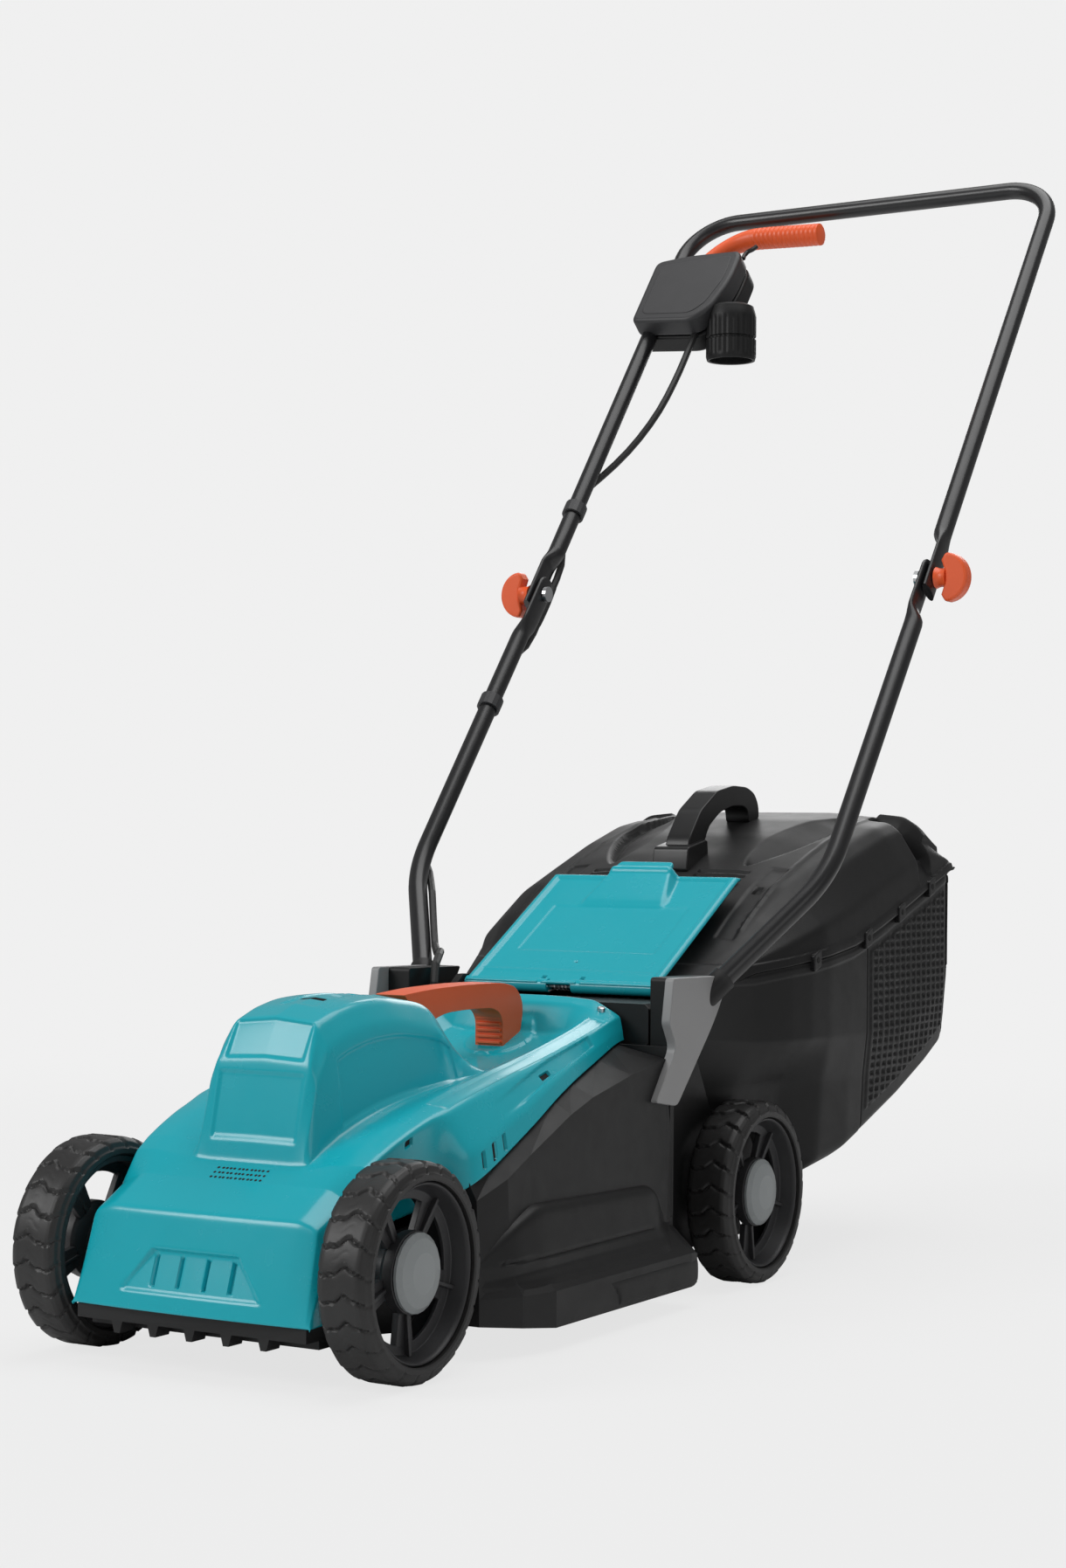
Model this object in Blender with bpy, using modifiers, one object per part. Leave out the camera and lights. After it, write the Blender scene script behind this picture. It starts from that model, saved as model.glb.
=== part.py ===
"""Corded rotary lawn mower with a folding handle and a rear grass box, as separate solids.

Metres, +Z up. The front faces -Y and +X is the operator's left. The origin is on the ground, under the
middle of the whole machine. A "station" is a distance behind the front axle.
"""
import math

import bmesh
import bpy
from mathutils import Matrix, Vector

# ---- overall sizes --------------------------------------------------------------------------------------
WHEELBASE = 0.538
WHEEL_DIAMETER = 0.160
WHEEL_WIDTH = 0.044
FRONT_TRACK = 0.321          # outer face to outer face
REAR_TRACK = 0.343
HANDLE_SPREAD = 0.4306       # between the tubes' centre lines
TUBE_DIAMETER = 0.018
BAR_STATION = 1.139          # grip bar of the upper handle
BAR_HEIGHT = 1.089
FOLD_STATION = 0.7886        # clamp bolts, about which the upper handle folds
FOLD_HEIGHT = 0.6402
KNEE_STATION = 0.5617        # bend of the lower handle tubes
KNEE_HEIGHT = 0.3577
FOOT = (0.1545, 0.480, 0.2695)   # where a lower tube enters its bracket
HEIGHT_TRAVEL = 0.036        # cutting height adjustment, at the axles

# ---- clearances -----------------------------------------------------------------------------------------
GAP = 0.0003                 # between faces that touch
SLACK = 0.001                # between faces that move past each other

# ---- running gear ---------------------------------------------------------------------------------------
AXLE_RADIUS = 0.005
HUB_RADIUS = 0.0165
HUB_INNER = 0.020            # hub's end towards the deck, from the wheel's middle
HUB_OUTER = 0.012
RIM_RADIUS = 0.0657
RIM_WALL = 0.0052
RIM_WIDTH = 0.036
WEB_LOW, WEB_HIGH = -0.002, 0.003
CAP_RADIUS = 0.029
CAP_HEIGHT = 0.0082
AXLE_HEAD_RADIUS = 0.009
AXLE_HEAD_LENGTH = 0.0030
SPOKES = 5
WINDOW_RADIUS = 0.0165

# ---- deck, blade and motor ------------------------------------------------------------------------------
WALL = 0.003
MOTOR_STATION = 0.188
CHAMBER_RADIUS = 0.1495
CHAMBER_TOP = 0.0915
BLADE_RADIUS = 0.1435
BLADE_WIDTH = 0.044
BLADE_THICKNESS = 0.003
BLADE_HEIGHT = 0.029         # underside of the blade above the ground
SHAFT_RADIUS = 0.006
BEARING_RADIUS = 0.013
BEARING_HEIGHT = 0.0077
STATOR_RADIUS = 0.043
STATOR_BORE = 0.0295
STATOR_HEIGHT = 0.064
END_PLATE = 0.0082
CAPACITOR_RADIUS = 0.0175
CAPACITOR_LENGTH = 0.060
TUNNEL_HALF = 0.090
REAR_HALF = 0.121            # half width of the deck between the rear wheels
HOOD_THICKNESS = 0.0025

# ---- flap and grass box ---------------------------------------------------------------------------------
MOUTH_SLOPE = math.radians(30)       # the discharge mouth leans back by this much from upright
MOUTH_STATION, MOUTH_HEIGHT = 0.462, 0.257   # top of the mouth
HINGE_STATION, HINGE_HEIGHT = 0.4675, 0.2585
FLAP_HALF = 0.0985
FLAP_LENGTH = 0.185
FLAP_THICKNESS = 0.005
BARREL_RADIUS = 0.0065
PIN_RADIUS = 0.002
BOX_WALL = 0.0025
MOUTH_GAP = 0.002

# ---- handle fittings ------------------------------------------------------------------------------------
FLAT_THICKNESS = 0.008       # a tube's end, pressed flat where the clamp bolt goes through
FLAT_HALF_WIDTH = 0.0125
BAR_CORNER = 0.055
BOLT_RADIUS = 0.003
BOLT_END = HANDLE_SPREAD / 2 + 0.0242
KNOB_RADIUS = 0.0235
KNOB_DEPTH = 0.022
KNOB_HALF = 0.0078           # half the wing's thickness
CABLE_RADIUS = 0.0037
INLET_RADIUS = 0.0275
LEVER_RADIUS = 0.0130
BRACKET_OUTER = 0.1525

WHEEL_RADIUS = WHEEL_DIAMETER / 2
TUBE_RADIUS = TUBE_DIAMETER / 2
HALF_SPREAD = HANDLE_SPREAD / 2
FRONT_AXLE_Y = -(BAR_STATION + TUBE_RADIUS - WHEEL_RADIUS) / 2

TURQUOISE = (0.040, 0.420, 0.480)
ORANGE = (0.760, 0.120, 0.030)
BLACK = (0.022, 0.022, 0.023)
DARK_GREY = (0.045, 0.045, 0.047)
MID_GREY = (0.170, 0.170, 0.170)
CAP_GREY = (0.230, 0.250, 0.252)
STEEL = (0.600, 0.600, 0.610)
COPPER = (0.560, 0.270, 0.140)


def at(x, station, height):
    """A world point, given its station."""
    return Vector((x, FRONT_AXLE_Y + station, height))


def collection(name):
    made = bpy.data.collections.new(name)
    bpy.context.scene.collection.children.link(made)
    return made


def material(name, colour, roughness, metallic=0.0):
    made = bpy.data.materials.new(name)
    made.use_nodes = True
    shader = made.node_tree.nodes["Principled BSDF"]
    shader.inputs["Base Color"].default_value = (*colour, 1)
    shader.inputs["Roughness"].default_value = roughness
    shader.inputs["Metallic"].default_value = metallic
    made.diffuse_color = (*colour, 1)
    return made


for old in list(bpy.data.objects):
    bpy.data.objects.remove(old)
PARTS = collection("rotary_mower")
CUTTERS = collection("cutters")


# ---- modelling helpers ----------------------------------------------------------------------------------
def add(name, mesh, finish=None):
    """An object in the parts collection with a finish of its own, or a hidden helper where it has none."""
    obj = bpy.data.objects.new(name, mesh)
    (PARTS if finish else CUTTERS).objects.link(obj)
    if finish:
        obj.data.materials.append(material(name, *finish))
        obj.data.shade_smooth()
        obj.data.set_sharp_from_angle(angle=math.radians(35))
    else:
        obj.hide_render = True
        obj.display_type = "WIRE"
    return obj


def from_bmesh(name, bm, finish=None):
    bmesh.ops.recalc_face_normals(bm, faces=bm.faces)
    mesh = bpy.data.meshes.new(name)
    bm.to_mesh(mesh)
    bm.free()
    return add(name, mesh, finish)


def block(name, low, high, finish=None):
    """A box between two corners."""
    low, high = Vector(low), Vector(high)
    bm = bmesh.new()
    size = high - low
    bmesh.ops.create_cube(bm, size=1, matrix=Matrix.Translation((low + high) / 2) @ Matrix.Diagonal((*size, 1)))
    return from_bmesh(name, bm, finish)


def cylinder(name, radius, start, end, finish=None, sides=24):
    """A round bar between two points."""
    start, end = Vector(start), Vector(end)
    along = end - start
    place = Matrix.Translation((start + end) / 2) @ along.to_track_quat("Z", "Y").to_matrix().to_4x4()
    bm = bmesh.new()
    bmesh.ops.create_cone(bm, cap_ends=True, segments=sides, radius1=radius, radius2=radius,
                          depth=along.length, matrix=place)
    return from_bmesh(name, bm, finish)


def turned(name, profile, place, finish=None, steps=24, closed=True):
    """A profile of (radius, height) points turned about the local Z axis. It runs down its outer side."""
    mesh = bpy.data.meshes.new(name)
    last = len(profile)
    edges = [(i, (i + 1) % last) for i in range(last if closed else last - 1)]
    mesh.from_pydata([(radius, 0, height) for radius, height in profile], edges, [])
    obj = add(name, mesh, finish)
    obj.matrix_world = place
    screw = obj.modifiers.new("Screw", "SCREW")
    screw.steps = screw.render_steps = steps
    screw.use_merge_vertices = True
    screw.merge_threshold = 1e-5
    screw.use_smooth_shade = True
    return obj


def upright(station, x=0.0):
    """The place of a turned piece that stands upright with its heights above the ground."""
    return Matrix.Translation(at(x, station, 0))


def sideways(x, station, height, side):
    """The place of a turned piece whose local Z points outwards, to the left (1) or the right (-1)."""
    return Matrix.Translation(at(x, station, height)) @ Matrix.Rotation(side * math.pi / 2, 4, "Y")


def loft(name, rings, finish=None):
    """A closed solid through rings of as many points each, with flat ends."""
    bm = bmesh.new()
    rows = [[bm.verts.new(point) for point in ring] for ring in rings]
    count = len(rows[0])
    for first, second in zip(rows, rows[1:]):
        for i in range(count):
            j = (i + 1) % count
            bm.faces.new((first[i], first[j], second[j], second[i]))
    bm.faces.new(rows[0])
    bm.faces.new(rows[-1])
    return from_bmesh(name, bm, finish)


def symmetric(half):
    """A closed ring from its half at +X, whose first and last points lie on the middle plane."""
    return list(half) + [Vector((-point.x, point.y, point.z)) for point in reversed(half[1:-1])]


def cross_ring(station, half):
    """A ring across the machine from half its (x, height) points."""
    return symmetric([at(x, station, height) for x, height in half])


def shell(name, half_rings, thickness, finish):
    """Half an open surface, rings from front to rear and each from its edge up to the middle, mirrored and
    thickened inwards."""
    bm = bmesh.new()
    rows = [[bm.verts.new(point) for point in ring] for ring in half_rings]
    for first, second in zip(rows, rows[1:]):
        for i in range(len(first) - 1):
            bm.faces.new((first[i], second[i], second[i + 1], first[i + 1]))
    mesh = bpy.data.meshes.new(name)
    bm.to_mesh(mesh)
    bm.free()
    obj = add(name, mesh, finish)
    mirror = obj.modifiers.new("Mirror", "MIRROR")
    mirror.merge_threshold = 1e-5
    wall = obj.modifiers.new("Solidify", "SOLIDIFY")
    wall.thickness = thickness
    wall.offset = -1
    wall.use_even_offset = True
    return obj


def sweep(name, path, radii, plane_normal, finish, sides=12):
    """A bar along a path, with an oval section of (in-plane, across-plane) radii at each point."""
    rings = []
    for i, point in enumerate(path):
        along = (path[min(i + 1, len(path) - 1)] - path[max(i - 1, 0)]).normalized()
        across = (plane_normal - plane_normal.dot(along) * along).normalized()
        inside = along.cross(across)
        in_plane, out_of_plane = radii[i]
        turns = [math.tau * k / sides for k in range(sides)]
        rings.append([point + inside * in_plane * math.cos(a) + across * out_of_plane * math.sin(a)
                      for a in turns])
    return loft(name, rings, finish)


def profile_plate(name, outline, x_low, x_high, finish=None):
    """A flat plate across X, cut to an outline of (station, height) points."""
    return loft(name, [[at(x, station, height) for station, height in outline] for x in (x_low, x_high)], finish)


def wire(name, points, radius, finish, resolution=2):
    """A round wire, cable or rail along straight steps."""
    curve = bpy.data.curves.new(name, "CURVE")
    curve.dimensions = "3D"
    curve.bevel_depth = radius
    curve.bevel_resolution = resolution
    curve.use_fill_caps = True
    spline = curve.splines.new("POLY")
    spline.points.add(len(points) - 1)
    for place, point in zip(spline.points, points):
        place.co = (*point, 1)
    return to_mesh(name, curve, Matrix(), finish)


def to_mesh(name, curve, place, finish):
    """A curve made into a mesh object, with its caps welded on."""
    guide = bpy.data.objects.new(name + "_guide", curve)
    bpy.context.scene.collection.objects.link(guide)
    mesh = bpy.data.meshes.new_from_object(guide.evaluated_get(bpy.context.evaluated_depsgraph_get()))
    bpy.data.objects.remove(guide)
    bm = bmesh.new()
    bm.from_mesh(mesh)
    bmesh.ops.remove_doubles(bm, verts=bm.verts, dist=1e-6)
    bmesh.ops.transform(bm, matrix=place, verts=bm.verts)
    return from_bmesh(name, bm, finish)


def smooth_route(points, spacing):
    """Points a given distance apart on a smooth curve through the route's own points."""
    ends = [points[0] * 2 - points[1]] + list(points) + [points[-1] * 2 - points[-2]]
    fine = []
    for a, b, c, d in zip(ends, ends[1:], ends[2:], ends[3:]):
        for step in range(20):
            t = step / 20
            fine.append(0.5 * (2 * b + (c - a) * t + (2 * a - 5 * b + 4 * c - d) * t ** 2
                               + (3 * b - a - 3 * c + d) * t ** 3))
    fine.append(points[-1])
    lengths = [(b - a).length for a, b in zip(fine, fine[1:])]
    count = max(2, round(sum(lengths) / spacing))
    route, done, i = [fine[0]], 0.0, 0
    for k in range(1, count):
        goal = sum(lengths) * k / count
        while done + lengths[i] < goal:
            done += lengths[i]
            i += 1
        route.append(fine[i].lerp(fine[i + 1], (goal - done) / lengths[i]))
    return route + [fine[-1]]


def boolean(target, other, operation):
    change = target.modifiers.new(operation.title() + " " + other.name, "BOOLEAN")
    change.operation = operation
    change.object = other


def cut(target, *cutters):
    for cutter in cutters:
        boolean(target, cutter, "DIFFERENCE")


def join(target, *others):
    for other in others:
        boolean(target, other, "UNION")


def pivot(name, point, *pieces):
    """An empty on a joint's axis that carries the pieces of one moving body."""
    empty = bpy.data.objects.new(name, None)
    empty.location = point
    PARTS.objects.link(empty)
    for piece in pieces:
        piece.parent = empty
        piece.matrix_parent_inverse = Matrix.Translation(point).inverted()
    return empty


def between(table, station):
    """Values read from a table of (station, values) by straight lines."""
    for (low, first), (high, second) in zip(table, table[1:]):
        if station <= high:
            share = max(0.0, (station - low) / (high - low))
            return [a + (b - a) * share for a, b in zip(first, second)]
    return list(table[-1][1])


def mouth(height, back=0.0):
    """The station of the discharge mouth's sloping plane at a height, moved back along its normal."""
    return MOUTH_STATION + (MOUTH_HEIGHT - height) * math.tan(MOUTH_SLOPE) + back / math.cos(MOUTH_SLOPE)


# ---- the handle's own plane -----------------------------------------------------------------------------
BAR = at(0, BAR_STATION, BAR_HEIGHT)
FOLD = at(0, FOLD_STATION, FOLD_HEIGHT)
UP_TUBE = (BAR - FOLD).normalized()
PLANE_NORMAL = Vector((0, UP_TUBE.z, -UP_TUBE.y))     # towards the rear and down
UPPER_LENGTH = (BAR - FOLD).length


def on_handle(x, down, out=0.0):
    """A point given by its distance below the grip bar and its distance out of the handle's plane."""
    return BAR + Vector((x, 0, 0)) - UP_TUBE * down + PLANE_NORMAL * out


def handle_block(name, x_range, down_range, out_range, finish=None):
    """A box in the handle's own directions."""
    rings = [[on_handle(x, down, out) for x, out in ((x_range[0], out_range[0]), (x_range[1], out_range[0]),
                                                     (x_range[1], out_range[1]), (x_range[0], out_range[1]))]
             for down in down_range]
    return loft(name, rings, finish)


def handle_plate(name, outline, out_low, out_high, finish=None):
    """A plate in the handle's plane, cut to an outline of (x, down) points."""
    return loft(name, [[on_handle(x, down, out) for x, down in outline] for out in (out_low, out_high)], finish)


# ---- hood: sections from the lower edge up to the middle ------------------------------------------------
def flat_top(edge, side, ridge, top):
    """A section in front of the motor dome: edge, side and ridge points, then a level top."""
    return [edge, side, ridge, (0.085, top), (0.055, top), (0.045, top), (0.030, top), (0.0, top)]


HOOD_LIP = 0.0455
HOOD_SECTIONS = [
    (-0.0682, [(x, HOOD_LIP) for x in (0.1075, 0.1060, 0.1030, 0.085, 0.055, 0.045, 0.030, 0.0)]),
    (-0.0500, flat_top((0.1075, 0.0460), (0.1070, 0.0850), (0.1000, 0.1120), 0.1165)),
    (-0.0160, flat_top((0.1080, 0.0470), (0.1080, 0.0950), (0.1030, 0.1280), 0.1357)),
    (-0.0145, flat_top((0.1080, 0.0980), (0.1085, 0.1130), (0.1035, 0.1295), 0.1365)),
    (0.0040, [(0.1085, 0.105), (0.1095, 0.130), (0.1060, 0.151), (0.088, 0.152), (0.054, 0.1485),
              (0.048, 0.1480), (0.036, 0.1475), (0.0, 0.1475)]),
    (0.0205, [(0.1085, 0.108), (0.1100, 0.137), (0.1085, 0.160), (0.089, 0.161), (0.055, 0.158),
              (0.049, 0.205), (0.043, 0.2215), (0.0, 0.2235)]),
    (0.0360, [(0.1090, 0.110), (0.1110, 0.143), (0.1100, 0.167), (0.090, 0.168), (0.057, 0.166),
              (0.049, 0.232), (0.037, 0.2510), (0.0, 0.2545)]),
    (0.0620, [(0.1095, 0.113), (0.1120, 0.150), (0.1130, 0.177), (0.092, 0.179), (0.060, 0.176),
              (0.050, 0.243), (0.038, 0.2600), (0.0, 0.2640)]),
    (0.0855, [(0.1095, 0.115), (0.1125, 0.155), (0.1145, 0.184), (0.093, 0.186), (0.061, 0.182),
              (0.051, 0.247), (0.039, 0.2640), (0.0, 0.2680)]),
    (0.0900, [(0.1400, 0.129), (0.1375, 0.150), (0.1165, 0.186), (0.093, 0.188), (0.061, 0.183),
              (0.051, 0.248), (0.039, 0.2645), (0.0, 0.2685)]),
    (0.1250, [(0.1410, 0.143), (0.1380, 0.162), (0.1170, 0.194), (0.093, 0.196), (0.062, 0.189),
              (0.052, 0.249), (0.040, 0.2660), (0.0, 0.2700)]),
    (0.1900, [(0.1385, 0.170), (0.1350, 0.184), (0.1150, 0.206), (0.093, 0.208), (0.060, 0.195),
              (0.050, 0.238), (0.038, 0.2580), (0.0, 0.2625)]),
    (0.2280, [(0.1345, 0.185), (0.1310, 0.197), (0.1140, 0.212), (0.092, 0.214), (0.052, 0.197),
              (0.042, 0.216), (0.032, 0.2265), (0.0, 0.2285)]),
    (0.2640, [(0.1295, 0.196), (0.1260, 0.206), (0.1120, 0.218), (0.091, 0.2205), (0.070, 0.2005),
              (0.045, 0.1965), (0.025, 0.1955), (0.0, 0.1950)]),
    (0.3300, [(0.1160, 0.209), (0.1135, 0.218), (0.1060, 0.229), (0.086, 0.232), (0.062, 0.209),
              (0.045, 0.2060), (0.025, 0.2052), (0.0, 0.2050)]),
    (0.3750, [(0.1045, 0.216), (0.1030, 0.224), (0.0995, 0.236), (0.080, 0.240), (0.057, 0.2255),
              (0.042, 0.2232), (0.022, 0.2226), (0.0, 0.2225)]),
    (0.3900, [(0.1015, 0.218), (0.1005, 0.226), (0.0985, 0.239), (0.078, 0.2475), (0.055, 0.249),
              (0.042, 0.2492), (0.022, 0.2495), (0.0, 0.2495)]),
    (0.4000, [(0.1000, 0.219), (0.0995, 0.227), (0.0970, 0.240), (0.072, 0.2535), (0.052, 0.255),
              (0.042, 0.2555), (0.022, 0.2560), (0.0, 0.2560)]),
    (0.4010, [(0.1000, 0.2205), (0.0995, 0.2205), (0.0970, 0.2205), (0.072, 0.2205), (0.052, 0.2205),
              (0.042, 0.2205), (0.022, 0.2205), (0.0, 0.2205)]),
]
HOOD_BOW = 0.004             # the front face stands forward in the middle by this much


def hood_half_ring(station, half):
    lip = abs(HOOD_SECTIONS[0][1][0][0])
    bow = HOOD_BOW if station < -0.04 else 0.0
    return [at(x, station - bow * (1 - (x / lip) ** 2), height) for x, height in half]


def build_hood():
    rings = [hood_half_ring(station, half) for station, half in HOOD_SECTIONS]
    return shell("hood", rings, HOOD_THICKNESS, (TURQUOISE, 0.25))


def hood_edge(station):
    """(x, height) of the hood's lower edge behind the front wheels."""
    return between([(place, half[0]) for place, half in HOOD_SECTIONS if place > 0.088], station)


# ---- deck -----------------------------------------------------------------------------------------------
def deck_half(station):
    """Half a section of the deck's outside: underside, skirt, ledge, side wall, shoulder, top."""
    bottom, skirt, skirt_top, ledge, ledge_top = between(DECK_SKIRT, station)
    foot = [(0, bottom), (skirt, bottom), (skirt, skirt_top), (ledge, ledge_top)]
    if station < WING_START:
        top = between(DECK_FRONT_TOP, station)[0]
        return foot + [(ledge, ledge_top + 0.010), (ledge, 0.0885), (ledge - 0.006, top), (0, top)]
    if station < 0.396:
        edge_x, edge_z = hood_edge(station)
        top = edge_z + (0.006 if station < 0.388 else -0.0012)
        return foot + [(ledge - 0.002, edge_z - 0.012), (edge_x - 0.0040, edge_z - 0.0015),
                       (edge_x - 0.0065, top), (0, top)]
    return foot + [(ledge, 0.150), (ledge, 0.180), (ledge, SADDLE_TOP), (0, SADDLE_TOP)]


WING_START = 0.091           # the deck widens behind the front wheels from here
SADDLE_TOP = 0.2155          # the hood's rear wall stands over this
DECK_SKIRT = [   # station: underside, skirt half width, skirt top, ledge half width, ledge height
    (-0.0500, (0.028, 0.1025, 0.045, 0.1025, 0.060)),
    (0.0200, (0.028, 0.1025, 0.045, 0.1025, 0.060)),
    (0.0400, (0.028, 0.1135, 0.045, 0.1135, 0.060)),
    (0.0905, (0.028, 0.1135, 0.045, 0.1135, 0.060)),
    (0.0965, (0.026, 0.1450, 0.046, 0.1440, 0.064)),
    (0.1300, (0.022, 0.1630, 0.046, 0.1510, 0.067)),
    (0.1650, (0.018, 0.1720, 0.046, 0.1500, 0.068)),
    (0.3920, (0.018, 0.1720, 0.046, 0.1480, 0.068)),
    (0.3950, (0.018, 0.1715, 0.046, 0.1475, 0.068)),
    (0.4040, (0.020, 0.1700, 0.044, 0.1460, 0.066)),
]
DECK_FRONT_TOP = [(-0.0500, (0.098,)), (0.0905, (0.104,))]
CHEEK_BOTTOM = 0.034
REAR_TOP = 0.250
SLOT_HALF = AXLE_RADIUS + SLACK
TUNNEL_FLOOR = 0.100
TUNNEL_ROOF = [(0.250, (CHAMBER_TOP - 0.001,)), (0.455, (0.235,)), (0.700, (0.235,))]


def build_deck():
    stations = [-0.050, 0.020, 0.040, 0.0905, 0.0965, 0.130, 0.165, 0.2280, 0.264, 0.330, 0.375, 0.3855, 0.390,
                0.3965, 0.404]
    deck = loft("deck", [cross_ring(s, deck_half(s)) for s in stations], (BLACK, 0.45))

    def rear_ring(place):
        half = [(0, CHEEK_BOTTOM), (REAR_HALF, CHEEK_BOTTOM), (REAR_HALF, 0.160), (REAR_HALF, REAR_TOP - 0.004),
                (REAR_HALF - 0.004, REAR_TOP), (0, REAR_TOP)]
        return symmetric([at(x, place(z), z) for x, z in half])

    rear = loft("deck_rear", [rear_ring(lambda z: 0.4035), rear_ring(lambda z: mouth(z))])
    groove = block("hood_groove", at(-0.2, 0.3960, 0.2165), at(0.2, 0.4055, 0.4))
    cut(rear, groove)
    join(deck, rear)
    for side in (1, -1):
        join(deck, profile_plate("flap_ear", EAR_OUTLINE, *sorted((side * EAR_LOW, side * EAR_HIGH))))

    def band(station, low, high, half):
        return cross_ring(station, [(0, low), (half, low), (half, high), (0, high)])

    def roof(station, cover=0.0):
        return between(TUNNEL_ROOF, station)[0] + cover

    centre = at(0, MOTOR_STATION, 0)
    chamber = cylinder("chamber", CHAMBER_RADIUS, centre - Vector((0, 0, 0.01)),
                       centre + Vector((0, 0, CHAMBER_TOP)), sides=48)
    tunnel = loft("tunnel", [band(0.250, 0.030, roof(0.250), TUNNEL_HALF),
                             band(0.335, 0.030, roof(0.335), TUNNEL_HALF),
                             band(0.455, TUNNEL_FLOOR, roof(0.455), TUNNEL_HALF + 0.012),
                             band(0.700, TUNNEL_FLOOR, roof(0.700), TUNNEL_HALF + 0.020)])
    front_hollow = block("front_hollow", at(-0.0985, -0.047, -0.01), at(0.0985, 0.060, CHAMBER_TOP - 0.0015))
    underside = loft("underside", [band(0.352, -0.01, 0.036, REAR_HALF - WALL),
                                   band(0.455, -0.01, TUNNEL_FLOOR - WALL, REAR_HALF - WALL),
                                   band(0.700, -0.01, TUNNEL_FLOOR - WALL, REAR_HALF - WALL)])
    floor = CHAMBER_TOP + WALL + 0.001

    def pocket_ring(station, low, half):
        upper_half, shoulder = half, low + 0.012
        if station > WING_START:
            edge_x, edge_z = hood_edge(station)
            upper_half, shoulder = edge_x - 0.0065 - WALL, edge_z - 0.014
        return cross_ring(station, [(0, low), (half, low), (half, shoulder), (upper_half, shoulder + 0.011),
                                    (upper_half, 0.30), (0, 0.30)])

    cover = WALL + 0.001
    pocket = loft("motor_bay", [
        pocket_ring(-0.047, floor, 0.098), pocket_ring(WING_START, floor, 0.098),
        pocket_ring(0.100, floor, 0.130), pocket_ring(0.165, floor, 0.143), pocket_ring(0.250, floor, 0.143),
        pocket_ring(0.330, roof(0.330, cover), 0.140), pocket_ring(0.385, roof(0.385, cover), 0.135)])

    def side_pocket(side):
        """The room under the deck between the chamber's wall and the skirt on one side."""
        rings = []
        for station, outer, upper in ((0.112, 0.149, 0.1435), (0.130, 0.160, 0.1470), (0.165, 0.169, 0.1465),
                                      (0.250, 0.169, 0.1460), (0.330, 0.169, 0.1455), (0.400, 0.167, 0.1430)):
            top = roof(station, 0.0) - 0.002
            inner = TUNNEL_HALF + 0.006
            corners = [(inner, -0.01), (outer, -0.01), (outer, 0.043), (upper, 0.0635), (upper, top), (inner, top)]
            rings.append([at(side * x, station, height) for x, height in corners])
        pocket = loft("side_pocket", rings)
        cut(pocket, cylinder("chamber_wall", CHAMBER_RADIUS + WALL, centre - Vector((0, 0, 0.02)),
                             centre + Vector((0, 0, 0.12)), sides=48))
        return pocket

    shaft_hole = cylinder("shaft_hole", 0.016, centre, centre + Vector((0, 0, 0.2)))
    slots = [block("axle_slot", at(-0.2, station - SLOT_HALF, WHEEL_RADIUS - HEIGHT_TRAVEL - AXLE_RADIUS - SLACK),
                   at(0.2, station + SLOT_HALF, WHEEL_RADIUS + AXLE_RADIUS + GAP))
             for station in (0.0, WHEELBASE)]
    pin_hole = cylinder("pin_hole", PIN_RADIUS + GAP, at(-0.2, HINGE_STATION, HINGE_HEIGHT),
                        at(0.2, HINGE_STATION, HINGE_HEIGHT), sides=12)
    cable_hole = cylinder("cable_hole", CABLE_RADIUS + 0.0015, CABLE_END + Vector((0, 0, 0.01)),
                          CABLE_END - Vector((0, 0, 0.012)), sides=12)
    cut(deck, side_pocket(1), side_pocket(-1), chamber, front_hollow, tunnel, underside, pocket, shaft_hole,
        *slots, pin_hole, cable_hole)
    return deck


EAR_LOW, EAR_HIGH = FLAP_HALF + SLACK, FLAP_HALF + SLACK + 0.007
EAR_OUTLINE = [(HINGE_STATION - 0.018, 0.240), (HINGE_STATION - 0.016, 0.258), (HINGE_STATION - 0.005, 0.2660),
               (HINGE_STATION + 0.005, 0.2660), (HINGE_STATION + 0.008, 0.2600), (HINGE_STATION + 0.006, 0.2500),
               (HINGE_STATION - 0.003, 0.240)]
CABLE_END = at(-0.110, 0.430, REAR_TOP)


def build_comb():
    """The strip under the hood's front lip, with teeth that lift the grass."""
    half, pitch, tooth, low, bar, top = 0.1030, 0.033, 0.010, 0.0260, 0.0345, 0.0446
    outline = [(-half, top), (-half, bar)]
    for i in range(-3, 4):
        middle = i * pitch
        if abs(middle) < half - tooth:
            outline += [(middle - tooth / 2, bar), (middle - tooth / 4, low), (middle + tooth / 4, low),
                        (middle + tooth / 2, bar)]
    outline += [(half, bar), (half, top)]
    rings = [[at(x, station, z) for x, z in outline] for station in (-0.0665, -0.0505)]
    return loft("front_comb", rings, (BLACK, 0.5))


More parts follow.
